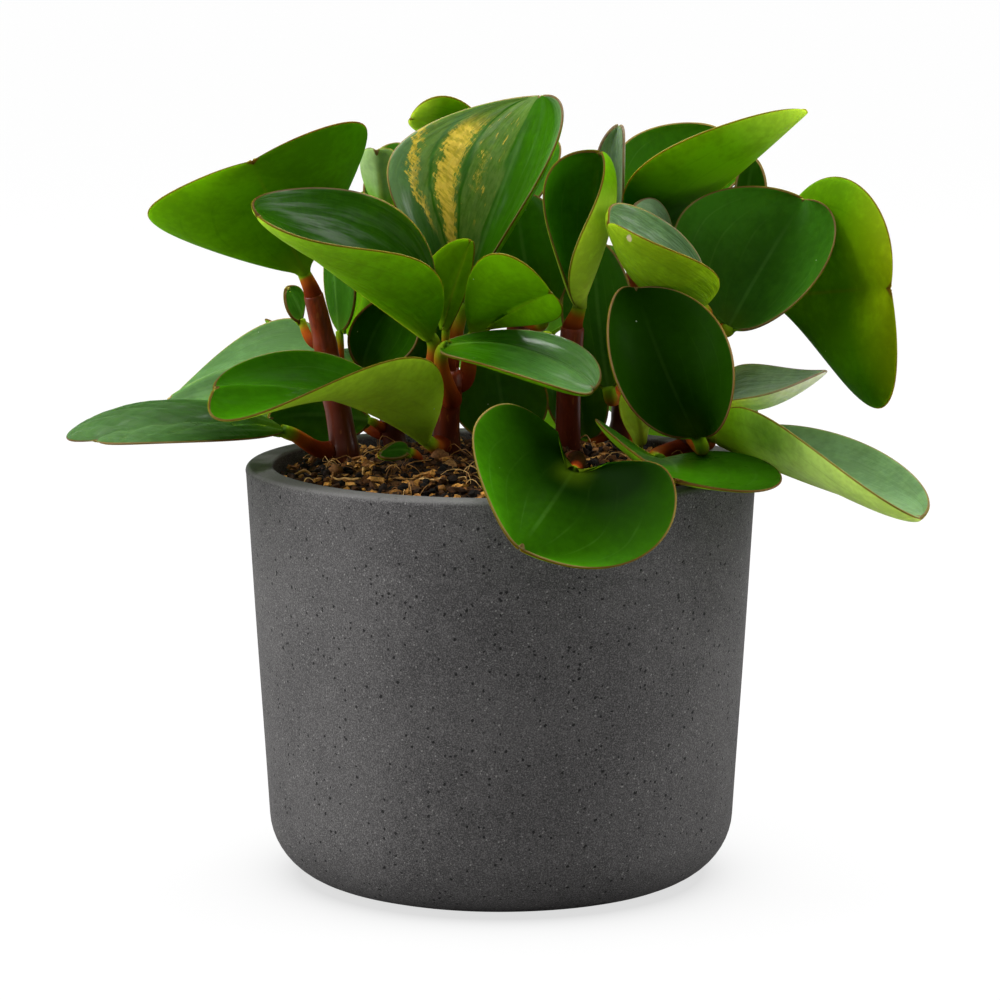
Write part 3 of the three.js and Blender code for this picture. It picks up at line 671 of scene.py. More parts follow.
# dry twigs, most of them at the front left: start, heading in degrees, length and radius
TWIGS = [
    ((-0.0620, -0.0030), -20, 0.0080, 0.00040),
    ((-0.0490, -0.0220), -28, 0.0100, 0.00045),
    ((-0.0400, -0.0100), -89, 0.0120, 0.00040),
    ((-0.0300, -0.0330), 20, 0.0120, 0.00035),
    ((-0.0150, -0.0400), 160, 0.0100, 0.00040),
    ((0.0300, -0.0250), 200, 0.0110, 0.00040),
    ((-0.0100, 0.0560), 30, 0.0130, 0.00045),
    ((0.0200, 0.0520), 140, 0.0110, 0.00040),
]
twig_start, twig_heading, twig_length, twig_radius = (np.array(column) for column in zip(*TWIGS))
twig_count = len(TWIGS)
TWIG_RISE = 0.0006
show("twigs", strands(
    "twigs", twig_start, np.radians(twig_heading), twig_length,
    random.uniform(-0.25, 0.25, twig_count), np.full(twig_count, TWIG_RISE),
    twig_radius, random.uniform(0.65, 1.0, twig_count), rings=10, sides=8), "soil", [coir_material])

# ---------------------------------------------------------------- stems
# Fleshy round stems, smooth and red-brown, darker and mottled near the soil, redder and lighter
# towards the top. Each leaf joins at a slight swelling.
STEM_RINGS = 46
STEM_SIDES = 24
STEM_DOME_RINGS = 7
STEM_BURIED = 0.014
STEM_SWELLING = 0.0003
SWELLING_LENGTH = 0.0022


def arc(curve, t):
    """Points and unit directions at the shares t of the arc through three points, the second halfway:
    a quadratic curve whose control point is 2m - (a + b) / 2. A last axis of three is added to t."""
    a, m, b = (np.asarray(p, dtype=float) for p in curve)
    t = np.asarray(t, dtype=float)[..., None]
    bend = 2 * m - (a + b) / 2
    points = a * (1 - t) ** 2 + bend * 2 * t * (1 - t) + b * t * t
    return points, unit((bend - a) * (1 - t) + (b - bend) * t)


def round_rings(path, along, up, radius, sides):
    """Round rings about the points of a path, from the left over `up`, anticlockwise about `along`."""
    up = unit(up - (up * along).sum(axis=-1, keepdims=True) * along)
    right = np.cross(along, up)
    angle = math.pi - (np.arange(sides) + 0.5) * 2 * math.pi / sides
    ring = right[:, None] * np.cos(angle)[:, None] + up[:, None] * np.sin(angle)[:, None]
    return path[:, None] + ring * radius[:, None, None]


def point_values(mesh, name, values):
    """Keeps one number for each vertex in the mesh, for its material to read."""
    values = np.ascontiguousarray(values, dtype=np.float32).ravel()
    mesh.attributes.new(name, "FLOAT", "POINT").data.foreach_set("value", values)


PLAIN_ARCH = 0.005
PLAIN_CUP = math.radians(25)


def plain(on, at, side, base, tip, width, lean=0.0):
    """A leaf that hangs in a shallow arch from base to tip: its edges lie half a width out to the
    sides and are raised as a cup, and its upper face looks up and by `lean` to the back."""
    base, tip = np.array(base), np.array(tip)
    along = unit(tip - base)
    up = np.array([0.0, lean, 1.0])
    up = unit(up - up @ along * along)
    middle = (base + tip) / 2 + PLAIN_ARCH * up
    rise = width / 2 * math.sin(PLAIN_CUP) * up
    reach = width / 2 * math.cos(PLAIN_CUP) * np.cross(along, up)
    return dict(joint=(on, at, side), rib=[base, middle, tip],
                left=[middle - reach + rise], right=[middle + reach + rise])


# the leaves, listed here because the stems swell where they join
# `joint`: where the stalk starts, as the stem, the share of its height and the compass side
#     (0 = +X, 90 = +Y; "top" is the end of the stem), or as "soil", 0 and the place
# `rib`: base, middle and tip of the midrib
# `left`, `right`: points on the edges, seen along the midrib with the upper face up: two points
#     at a quarter and three quarters of the length, or one point halfway
# `bulge`, `lobe`: how far the left and right half sag, and how far they reach back at the base
# `blunt`: how round the outline is at base and tip, where a smaller number is rounder
# `folds`: how deep the folds between midrib and edge are
# `red`: how many times further than usual the red reaches along the stalk; past the red the stalk
#     is painted near-black brown, a painted shade where it lies in shadow under its leaf
# `tones`: how light the upper face is, in part painted shade and light where it changes along or
#     across the blade; how much painted grey sheen it has, a reflection of the bright surroundings;
#     how yellow the lower face is, in part painted light that shines through or falls on it; how
#     glossy the wax is, and how far the lower face has turned olive in the sun; each is one
#     number, or a number and how far it grows to the tip, to the right edge and to both edges
TONES = ("light", "grey", "yellow_and_glow", "gloss", "olive")
PLAIN_TONES = (0.6, 0.02, 0.4, 0.05, 0.0)
LEAVES = {
    "leaf_left_high": dict(
        joint=("stem_left", 0.98, "top"),
        rib=[(-0.058, 0.01, 0.177), (-0.065, -0.008, 0.196), (-0.07, -0.036, 0.213)],
        left=[(-0.043, 0.008, 0.2056), (-0.0428, -0.02, 0.223)],
        right=[(-0.094, -0.002, 0.1886), (-0.096, -0.022, 0.202)],
        blunt=(0.58, 0.52),
        tones=(0.6, 0.0, (0.3, 0.0, 0.16, 0.0), 0.02, 0.0),
    ),
    "leaf_left_cup": dict(
        joint=("stem_centre", 0.9, 190),
        rib=[(-0.021, 0.002, 0.159), (-0.043, -0.018, 0.177), (-0.068, -0.042, 0.198)],
        left=[(-0.02, -0.026, 0.182), (-0.048, -0.05, 0.191)],
        right=[(-0.0265, 0.002, 0.1934), (-0.06, -0.024, 0.2042)],
        tones=(0.55, 0.0, (0.44, 0.26, 0.0, 0.0), 0.5, 0.0),
    ),
    "leaf_marked": dict(
        joint=("stem_centre", 0.9, 90),
        rib=[(-0.011, 0.017, 0.167), (0.0, 0.022, 0.199), (0.012, 0.04, 0.2268)],
        left=[(-0.03, 0.01, 0.194), (-0.026, 0.028, 0.2166)],
        right=[(0.0, 0.002, 0.187), (0.017, 0.01, 0.2175)],
        bulge=(0.08, 0.15),
        tones=(0.6, (-0.2, 0.0, 0.0, 0.6), 0.5, (0.2, 0.0, 0.0, 0.7), 0.0),
    ),
    "leaf_centre_small": dict(
        joint=("stem_centre", 0.98, "top"),
        rib=[(-0.016, 0.007, 0.161), (-0.013, 0.003, 0.173), (-0.0085, 0.0, 0.187)],
        left=[(-0.0095, 0.001, 0.174)], right=[(-0.0225, 0.011, 0.1765)],
        small=True,
        tones=(0.6, 0.0, 0.48, 0.0, 0.05),
    ),
    "leaf_ear": dict(
        joint=("stem_centre", 0.9, 10),
        rib=[(-0.008, 0.01, 0.158), (0.003, -0.008, 0.168), (0.014, -0.026, 0.175)],
        left=[(-0.002, 0.004, 0.1612), (0.0155, -0.019, 0.1662)], right=[(-0.005, -0.026, 0.185)],
        tones=(0.6, 0.0, 0.5, 0.0, 0.0),
    ),
    "leaf_glossy": dict(
        joint=("stem_centre", 0.75, -70),
        rib=[(-0.015, -0.006, 0.157), (0.006, -0.023, 0.158), (0.026, -0.042, 0.149)],
        left=[(-0.004, -0.003, 0.161), (0.023, -0.014, 0.158)],
        right=[(-0.008, -0.034, 0.156), (0.014, -0.056, 0.152)],
        lobe=(0.003, 0.003),
        tones=(0.75, (-0.12, 0.4, 0.0, 0.0), 0.45, (0.15, 0.85, 0.0, 0.0), 0.0),
    ),
    "leaf_left_spoon": dict(
        joint=("stem_centre", 0.2, -120),
        rib=[(-0.022, -0.002, 0.129), (-0.049, -0.024, 0.145), (-0.081, -0.04, 0.149)],
        left=[(-0.024, -0.032, 0.157), (-0.067, -0.054, 0.144)],
        right=[(-0.038, 0.003, 0.148), (-0.068, -0.008, 0.155)],
        tones=(1.0, 0.0, 0.7, 0.08, 0.1),
    ),
    "leaf_left_low": dict(
        joint=("stem_left", 0.06, 190),
        rib=[(-0.064, 0.002, 0.131), (-0.089, -0.022, 0.136), (-0.114, -0.046, 0.135)],
        left=[(-0.075, -0.024, 0.132), (-0.098, -0.056, 0.1356)],
        right=[(-0.092, 0.012, 0.138), (-0.1225, -0.018, 0.1348)],
        bulge=(-0.05, -0.1), blunt=(0.6, 0.5),
        tones=((0.35, 0.08, 0.0, 0.0), (-0.04, 0.25, 0.0, 0.0), 0.5, 0.15, 0.0),
        folds=0.00045, red=1.4,
    ),
    "leaf_left_behind": dict(
        joint=("stem_left", 0.36, 110),
        rib=[(-0.051, 0.028, 0.145), (-0.076, 0.028, 0.147), (-0.099, 0.02, 0.138)],
        left=[(-0.072, 0.015, 0.139)], right=[(-0.065, 0.046, 0.1593), (-0.0914, 0.036, 0.1438)],
        blunt=(0.4, 0.4),
        tones=(0.7, 0.3, 0.5, 0.1, 0.0),
        folds=0.00015,
    ),
    "leaf_left_bud": dict(
        joint=("stem_left", 0.7, 150),
        rib=[(-0.059, 0.018, 0.162), (-0.061, 0.02, 0.167), (-0.0635, 0.022, 0.171)],
        left=[(-0.0628, 0.014, 0.165)], right=[(-0.059, 0.029, 0.169)],
        small=True,
    ),
    "leaf_edge_on": dict(
        joint=("stem_left", 0.5, 70),
        rib=[(-0.048, 0.022, 0.158), (-0.049, 0.026, 0.171), (-0.05, 0.028, 0.185)],
        left=[(-0.053, 0.034, 0.171)], right=[(-0.043, 0.012, 0.173)],
        small=True,
    ),
    "leaf_pale_inner": dict(
        joint=("stem_back_left", 0.5, -130),
        rib=[(-0.044, 0.036, 0.154), (-0.042, 0.038, 0.162), (-0.04, 0.043, 0.171)],
        left=[(-0.034, 0.028, 0.167)], right=[(-0.047, 0.046, 0.162)],
        small=True,
        tones=(0.9, 0.1, 0.33, 0.1, 0.0),
    ),
    "leaf_dark_inner": dict(
        joint=("stem_back_left", 0.35, -80),
        rib=[(-0.041, 0.02, 0.147), (-0.038, 0.02, 0.157), (-0.031, 0.026, 0.168)],
        left=[(-0.044, 0.013, 0.161)], right=[(-0.025, 0.008, 0.156)],
        small=True,
        tones=(0.28, 0.0, 0.4, 0.05, 0.0),
    ),
    "leaf_inner_centre": dict(
        joint=("stem_back_left", 0.45, -20),
        rib=[(-0.022, 0.04, 0.143), (-0.02, 0.038, 0.155), (-0.019, 0.04, 0.169)],
        left=[(-0.032, 0.033, 0.156)], right=[(-0.008, 0.033, 0.156)],
        small=True,
    ),
    "leaf_top_small": dict(
        joint=("stem_back", 0.98, "top"),
        rib=[(0.0, 0.062, 0.205), (-0.014, 0.054, 0.216), (-0.027, 0.046, 0.22)],
        left=[(-0.012, 0.042, 0.2253)], right=[(-0.019, 0.066, 0.211)],
        small=True,
        tones=(0.8, 0.0, (-0.2, 1.15, 0.0, 0.0), 0.05, 0.0),
    ),
    "leaf_pale_top": dict(
        joint=("stem_back_left", 0.95, -60),
        rib=[(-0.035, 0.042, 0.191), (-0.036, 0.038, 0.201), (-0.037, 0.032, 0.211)],
        left=[(-0.029, 0.042, 0.205)], right=[(-0.042, 0.044, 0.205)],
        small=True,
        tones=(0.9, 0.62, 0.36, 0.05, 0.0),
    ),
    "leaf_dark_top": dict(
        joint=("stem_back_left", 0.98, "top"),
        rib=[(-0.033, 0.054, 0.188), (-0.036, 0.06, 0.199), (-0.037, 0.068, 0.209)],
        left=[(-0.0415, 0.054, 0.195)], right=[(-0.026, 0.062, 0.206)],
        small=True,
    ),
    "leaf_dark_centre": dict(
        joint=("stem_back", 0.62, -80),
        rib=[(0.012, 0.026, 0.162), (0.007, 0.026, 0.18), (0.005, 0.036, 0.198)],
        left=[(-0.008, 0.022, 0.18)], right=[(0.02, 0.02, 0.184)],
        tones=(0.75, 0.0, 0.35, 0.05, 0.0),
    ),
    "leaf_upright_spoon": dict(
        joint=("stem_middle", 0.98, "top"),
        rib=[(0.023, 0.008, 0.167), (0.027, 0.014, 0.19), (0.029, 0.01, 0.212)],
        left=[(0.017, -0.006, 0.181), (0.013, -0.002, 0.205)],
        right=[(0.02, -0.012, 0.182), (0.028, -0.012, 0.202)],
        bulge=(0.15, 0.2),
        tones=(1.0, 0.0, (1.5, -1.15, 0.0, 0.0), 0.0, 0.0),
    ),
    "leaf_grey_narrow": dict(
        joint=("stem_back_right", 0.95, 200),
        rib=[(0.035, 0.04, 0.191), (0.0325, 0.044, 0.205), (0.0355, 0.048, 0.2174)],
        left=[(0.0285, 0.038, 0.206)], right=[(0.0365, 0.034, 0.207)],
        small=True,
        tones=(1.0, 1.0, 0.5, 0.8, 0.0),
    ),
    "leaf_right_back": dict(
        joint=("stem_back_right", 0.98, "top"),
        rib=[(0.047, 0.056, 0.187), (0.054, 0.074, 0.2), (0.068, 0.092, 0.2135)],
        left=[(0.0365, 0.068, 0.209)], right=[(0.075, 0.064, 0.203)],
        tones=(0.6, 0.0, 0.5, 0.0, 0.0),
    ),
    "leaf_right_pointed": dict(
        joint=("stem_back_right", 0.88, -70),
        rib=[(0.044, 0.031, 0.185), (0.065, 0.02, 0.2022), (0.0893, 0.012, 0.2238)],
        left=[(0.051, 0.046, 0.2025), (0.075, 0.022, 0.219)],
        right=[(0.037, 0.008, 0.2035), (0.063, -0.008, 0.221)],
        tones=(0.6, 0.0, (-0.12, 0.93, 0.0, 0.0), 0.0, 0.0),
    ),
    "leaf_right_sliver": dict(
        joint=("stem_back_right", 0.82, 10),
        rib=[(0.073, 0.034, 0.19), (0.074, 0.037, 0.2), (0.076, 0.042, 0.208)],
        left=[(0.07, 0.036, 0.201)], right=[(0.079, 0.032, 0.197)],
        small=True,
        tones=(0.25, 0.0, 0.4, 0.0, 0.0),
    ),
    "leaf_right_round": dict(
        joint=("stem_right", 0.9, -20),
        rib=[(0.067, 0.007, 0.161), (0.077, 0.014, 0.178), (0.09, 0.026, 0.197)],
        left=[(0.051, 0.005, 0.1815), (0.061, 0.008, 0.2003)],
        right=[(0.0825, -0.006, 0.1672), (0.0975, 0.004, 0.1875)],
        tones=((0.42, 0.45, 0.0, 0.0), 0.03, 0.45, 0.05, 0.0),
    ),
    "leaf_right_outer": dict(
        joint=("stem_right", 0.85, 70),
        rib=[(0.08, 0.042, 0.166), (0.0965, 0.02, 0.17), (0.1129, -0.006, 0.174)],
        left=[(0.093, 0.028, 0.154), (0.112, 0.003, 0.1378)],
        right=[(0.0895, 0.038, 0.1973), (0.1076, 0.006, 0.1998)],
        tones=(0.6, 0.0, (0.31, 0.1, 0.22, 0.0), 0.0, (-0.74, 1.1, 0.08, 0.0)),
    ),
    "leaf_right_cup": dict(
        joint=("stem_right", 0.9, -110),
        rib=[(0.057, -0.003, 0.168), (0.04, -0.018, 0.177), (0.0308, -0.026, 0.194)],
        left=[(0.0605, -0.028, 0.181), (0.042, -0.042, 0.191)],
        right=[(0.055, 0.0, 0.1865), (0.0365, -0.008, 0.1985)],
        tones=(0.75, 0.48, (0.6, -0.2, 0.0, 0.0), 0.8, (0.12, 0.1, 0.0, 0.1)),
    ),
    "leaf_grey_strip": dict(
        joint=("stem_back_right", 0.7, -80),
        rib=[(0.05, 0.012, 0.187), (0.044, 0.005, 0.193), (0.038, 0.0, 0.196)],
        left=[(0.043, -0.002, 0.1906)], right=[(0.046, 0.01, 0.198)],
        small=True,
        tones=(1.0, 0.7, 0.3, 0.5, 0.0),
    ),
    "leaf_right_egg": dict(
        joint=("stem_right", 0.32, -110),
        rib=[(0.056, -0.03, 0.134), (0.046, -0.038, 0.155), (0.038, -0.026, 0.176)],
        left=[(0.037, -0.05, 0.144), (0.03, -0.042, 0.169)],
        right=[(0.064, -0.054, 0.1455), (0.0605, -0.04, 0.169)],
        tones=(0.12, 0.0, 0.4, 0.0, 0.0),
    ),
    "leaf_right_mid": dict(
        joint=("stem_right", 0.45, 20),
        rib=[(0.066, 0.012, 0.138), (0.08, 0.002, 0.1415), (0.094, -0.01, 0.1502)],
        left=[(0.07, 0.02, 0.148), (0.086, 0.008, 0.1487)],
        right=[(0.071, -0.016, 0.1433), (0.083, -0.02, 0.1472)],
        tones=(1.0, 1.0, 0.9, 0.9, 0.0),
    ),
    "leaf_right_long": dict(
        joint=("stem_right", 0.15, -40),
        rib=[(0.064, -0.008, 0.13), (0.089, -0.028, 0.121), (0.118, -0.05, 0.1135)],
        left=[(0.089, 0.012, 0.131), (0.1165, -0.02, 0.1234)],
        right=[(0.072, -0.026, 0.141), (0.1, -0.06, 0.125)],
        tones=(1.0, 0.6, (0.56, 0.26, 0.0, 0.0), 0.15, 0.05),
    ),
    "leaf_right_low": dict(
        joint=("stem_right", 0.1, -150),
        rib=[(0.046, -0.016, 0.125), (0.049, -0.038, 0.1265), (0.049, -0.062, 0.1258)],
        left=[(0.07, -0.022, 0.1275), (0.0773, -0.058, 0.124)], right=[(0.027, -0.032, 0.139)],
        bulge=(0.02, 0.12), blunt=(0.5, 0.4),
        tones=((0.67, 0.0, 0.0, -0.42), 0.0, 0.6, 0.05, 0.0),
    ),
    "leaf_front_heart": dict(
        joint=("stem_front", 0.98, "top"),
        rib=[(0.02, -0.06, 0.128), (0.013, -0.08, 0.121), (0.005, -0.092, 0.112)],
        left=[(0.048, -0.072, 0.125), (0.0364, -0.088, 0.108)],
        right=[(-0.006, -0.064, 0.144), (-0.005, -0.084, 0.128)],
        blunt=(0.25, 0.5), lobe=(0.004, 0.013),
        tones=((-0.21, 0.85, 0.16, 0.43), 0.0, 0.45, 0.0, 0.0),
        # its stalk is painted near black past the red: painted shade where it lies in shadow under the
        # blade
        red=8.0,
    ),
    "leaf_seedling": dict(
        joint=("soil", 0, (-0.024, -0.008, 0.1231)),
        rib=[(-0.027, -0.012, 0.127), (-0.031, -0.018, 0.128), (-0.035, -0.026, 0.128)],
        left=[(-0.03, -0.026, 0.127)], right=[(-0.03, -0.012, 0.13)],
        small=True,
    ),
    "leaf_pale_low": dict(
        joint=("stem_back_right", 0.2, -80),
        rib=[(0.041, 0.01, 0.127), (0.04, 0.004, 0.135), (0.037, 0.0, 0.143)],
        left=[(0.044, 0.006, 0.138)], right=[(0.035, 0.004, 0.136)],
        small=True,
        tones=(1.0, 0.1, 0.8, 0.05, 0.0),
    ),
    "leaf_inner_right": dict(
        joint=("stem_back_right", 0.3, -120),
        rib=[(0.032, 0.026, 0.141), (0.029, 0.03, 0.163), (0.028, 0.038, 0.184)],
        left=[(0.018, 0.025, 0.162)], right=[(0.04, 0.024, 0.163)],
    ),
    "leaf_low_centre": dict(
        joint=("stem_back", 0.12, -90),
        rib=[(0.002, 0.028, 0.1248), (0.0, 0.026, 0.138), (-0.002, 0.029, 0.15)],
        left=[(-0.015, 0.02, 0.137)], right=[(0.014, 0.021, 0.139)],
        blunt=(0.35, 0.5), small=True,
    ),
    "leaf_low_left": dict(
        joint=("stem_back_left", 0.14, 215),
        rib=[(-0.04, 0.039, 0.129), (-0.055, 0.038, 0.131), (-0.07, 0.035, 0.13)],
        left=[(-0.056, 0.036, 0.122)], right=[(-0.056, 0.04, 0.138)],
        small=True,
    ),
    "leaf_low_right": dict(
        joint=("stem_back_right", 0.1, -150),
        rib=[(0.025, 0.043, 0.123), (0.0235, 0.042, 0.137), (0.022, 0.045, 0.151)],
        left=[(0.013, 0.036, 0.138)], right=[(0.0325, 0.041, 0.136)],
        blunt=(0.35, 0.5), small=True,
    ),
    "leaf_back_1": plain("stem_back_left", 0.12, 160,
        (-0.046, 0.054, 0.128), (-0.092, 0.076, 0.118), 0.056),
    "leaf_back_2": plain("stem_back_left", 0.32, 120,
        (-0.046, 0.064, 0.142), (-0.056, 0.116, 0.136), 0.05),
    "leaf_back_3": plain("stem_back_left", 0.82, 100,
        (-0.04, 0.066, 0.172), (-0.052, 0.106, 0.188), 0.054, lean=-0.6),
    "leaf_back_4": plain("stem_back", 0.88, 100,
        (-0.002, 0.064, 0.182), (-0.012, 0.104, 0.2), 0.058, lean=-0.6),
    "leaf_back_5": plain("stem_back", 0.55, 80, (0.014, 0.064, 0.152), (0.018, 0.114, 0.17), 0.046),
    "leaf_back_6": plain("stem_back", 0.22, 90,
        (0.008, 0.07, 0.134), (0.02, 0.128, 0.11), 0.066, lean=0.2),
    "leaf_back_7": plain("stem_back_right", 0.88, 90,
        (0.046, 0.064, 0.176), (0.06, 0.106, 0.19), 0.054, lean=-0.6),
    "leaf_back_8": plain("stem_back_right", 0.6, 75,
        (0.048, 0.062, 0.158), (0.066, 0.114, 0.148), 0.048),
    "leaf_back_9": plain("stem_back_right", 0.25, 30,
        (0.057, 0.051, 0.13), (0.077, 0.056, 0.122), 0.028),
    "leaf_back_10": plain("stem_back_right", 0.75, 40,
        (0.068, 0.066, 0.17), (0.106, 0.074, 0.174), 0.048),
    "leaf_back_11": plain("stem_back_right", 0.1, 80,
        (0.043, 0.062, 0.126), (0.052, 0.104, 0.11), 0.044),
    "leaf_back_12": plain("stem_back_left", 0.6, 60,
        (-0.024, 0.062, 0.157), (-0.03, 0.112, 0.154), 0.046),
}


def stem_mesh(name):
    """Round tube on the stem's arc: radius from foot to top, plus a bell-shaped swelling where each
    leaf joins, closed by a low dome whose radius falls as the root of one minus the share squared."""
    *curve, thick, thin = STEMS[name]
    t = np.linspace(0, 1, STEM_RINGS)
    length = np.linalg.norm(np.subtract(curve[2], curve[0]))
    radius = thick + (thin - thick) * t
    for leaf in LEAVES.values():
        on, at, side = leaf["joint"]
        if on == name and side != "top":
            radius += STEM_SWELLING * np.exp(-(((t - at) * length / SWELLING_LENGTH) ** 2))
    path, along = arc(curve, t)
    dome = np.linspace(0.15, 0.98, STEM_DOME_RINGS)
    buried = path[:1] - along[:1] * STEM_BURIED
    cap = path[-1] + along[-1] * dome[:, None] * 0.5 * thin
    path = np.vstack([buried, path, cap])
    along = np.vstack([along[:1], along, np.repeat(along[-1:], STEM_DOME_RINGS, axis=0)])
    radius = np.concatenate([[thick], radius, thin * np.sqrt(1 - dome ** 2)])
    up = np.broadcast_to([0.0, 1.0, 0.0], path.shape)
    mesh = rings_mesh(name, round_rings(path, along, up, radius, STEM_SIDES))
    height = np.clip((path[:, 2] - SOIL_MIDDLE) / 0.05, 0, 1)
    point_values(mesh, "share_up_stem", np.concatenate([np.repeat(height, STEM_SIDES), height[:1], height[-1:]]))
    return mesh


def stem_material():
    """Red-brown skin with a wet look: dark brown low down, redder and lighter high up, with faint
    lengthwise flecks."""
    material, g, shader = new_material("stem_skin", (0.06, 0.015, 0.006), 0.32, 0.25)
    place = g.object_place()
    share_up_stem = g.attribute("share_up_stem")
    red = g.mix(share_up_stem, (0.070, 0.012, 0.004), (0.270, 0.034, 0.006))
    stretched = g.node("ShaderNodeMapping", {"Vector": place, "Scale": (1.0, 1.0, 0.22)})
    cloud = mottled(g, stretched, 260.0, 1300.0)
    red = g.mix(g.ramp(cloud, 0.42, 0.62, 0.0, 0.55), red, (0.045, 0.008, 0.003))
    fleck = g.ramp(g.noise(stretched, 900.0, 2.0), 0.62, 0.72, 0.0, 0.5)
    red = g.mix(fleck, red, (0.30, 0.085, 0.02))
    g.cover(shader, red, 0.35, 0.0002, cloud)
    return material


stem_skin = stem_material()
for stem_name in STEMS:
    show(stem_name, stem_mesh(stem_name), "stem", [stem_skin], stem_name)

# ---------------------------------------------------------------- leaves
# Thick waxy blades on short round stalks. Upper face dark green and glossy with a sunk midrib and
# faint veins that run its length, lower face lighter and satin with a keel, and a thin red-brown
# edge line that is painted beige in patches on the upper face, a painted highlight.
BLADE_THICKNESS = 0.0013
BLADE_EDGE = 0.0008
BLADE_KEEL = 0.0015
KEEL_WIDTH = 0.003
EDGE_ROUND_FROM = 0.965  # share of the half-width where the edge starts to round over
STALK_AT_STEM = 0.0025
STALK_AT_BLADE = 0.0019
STALK_SUNK = 0.0011  # how far a stalk runs into the stem that carries it
STALK_RINGS = 18
STALK_SMALL = 0.6  # how thick a small leaf's stalk is next to a large one's
STALK_SIDE_FOOT = 1.35  # how much a stalk widens where it joins a stem
STALK_TOP_FOOT = 0.95  # width of a stalk that goes on from the top of a stem, as a share of the stem's
STALK_FLARE = 0.0028
STALK_BEND_OUT = 0.35  # how far the stalk goes on sideways from the stem, as a share of its reach
STALK_BEND_IN = 0.4  # how far it runs straight into the midrib
SCAR_PLACE = (0.0360, -0.0384, 0.1914)  # a small pale scar on the lower face of leaf_right_cup
LEAST_AT_BASE = 0.07
LEAST_AT_TIP = 0.03
TIP_NOTCH = 0.0015
BULGE = (0.12, 0.12)
VEIN_COUNT = 3.85  # veins to each half, counted out from the midrib
VEIN_FIRST = 0.15
FOLD_SWEEP = 0.62  # how far forward the folds of a puckered leaf sweep on their way to the edge
FOLD_COUNT = 5.0
VEIN_DEPTH = 0.00004
RIB_DEPTH = 0.00024
RIB_WIDTH = 0.0008
RIB_SMALL = 0.6


def outline(leaf, u):
    """Half-width at share u of the length, as a share of the widest: the sine of pi u to a power
    that goes from the base's bluntness to the tip's, and never quite nothing at the ends."""
    at_base, at_tip = leaf.get("blunt", (0.5, 0.5))
    power = at_base * (1 - u) + at_tip * u
    wave = np.sin(math.pi * np.clip(u, 0, 1))
    return np.maximum(np.maximum(wave, 0) ** power, np.where(u < 0.5, LEAST_AT_BASE, LEAST_AT_TIP))


def half_blade(leaf, u, v, hand):
    """Middle surface of one half (hand -1 left, 1 right): midrib, plus the edge's reach times
    outline times share, less a parabola of sag between midrib and edge, with a notch at the tip
    and a lobe at the base."""
    rib, along = arc(leaf["rib"], u)
    edges = leaf["left"] if hand < 0 else leaf["right"]

    def reach(point, t):
        return (np.asarray(point) - arc(leaf["rib"], t)[0]) / outline(leaf, np.array(t))

    if len(edges) == 1:
        out = np.broadcast_to(reach(edges[0], 0.5), rib.shape)
    else:
        near, far = reach(edges[0], 0.25), reach(edges[1], 0.75)
        out = near + (far - near) * ((u - 0.25) / 0.5)[..., None]
    up = unit(np.cross(out, along)) * hand
    share = np.abs(v)
    side = 0 if hand < 0 else 1
    sag = leaf.get("bulge", BULGE)[side]
    notch = TIP_NOTCH * np.maximum(0, (u - 0.75) / 0.25) ** 2 * np.exp(-((4 * v) ** 2))
    lobe = leaf.get("lobe", (0, 0))[side] * np.maximum(0, 1 - u / 0.35) ** 1.5 * share ** 0.8
    width = outline(leaf, u)
    size = np.linalg.norm(out, axis=-1)
    return (rib + out * (width * share)[..., None]
            - up * (sag * 4 * share * (1 - share) * size * width)[..., None]
            - along * (notch + lobe)[..., None])


def blade(leaf, u, v):
    """Middle surface of the whole blade on arrays of u (base 0 to tip 1) and v (left -1 to right 1)."""
    return np.where((v < 0)[..., None], half_blade(leaf, u, v, -1), half_blade(leaf, u, v, 1))


def blade_normal(leaf, u, v):
    """Unit normal on the upper side: across direction crossed with along direction, both taken as
    small differences."""
    step = 0.02
    forward = blade(leaf, np.minimum(u + step, 1), v) - blade(leaf, u - step, v)
    sideways = blade(leaf, u, np.minimum(v + step, 1)) - blade(leaf, u, np.maximum(v - step, -1))
    return unit(np.cross(sideways, forward))


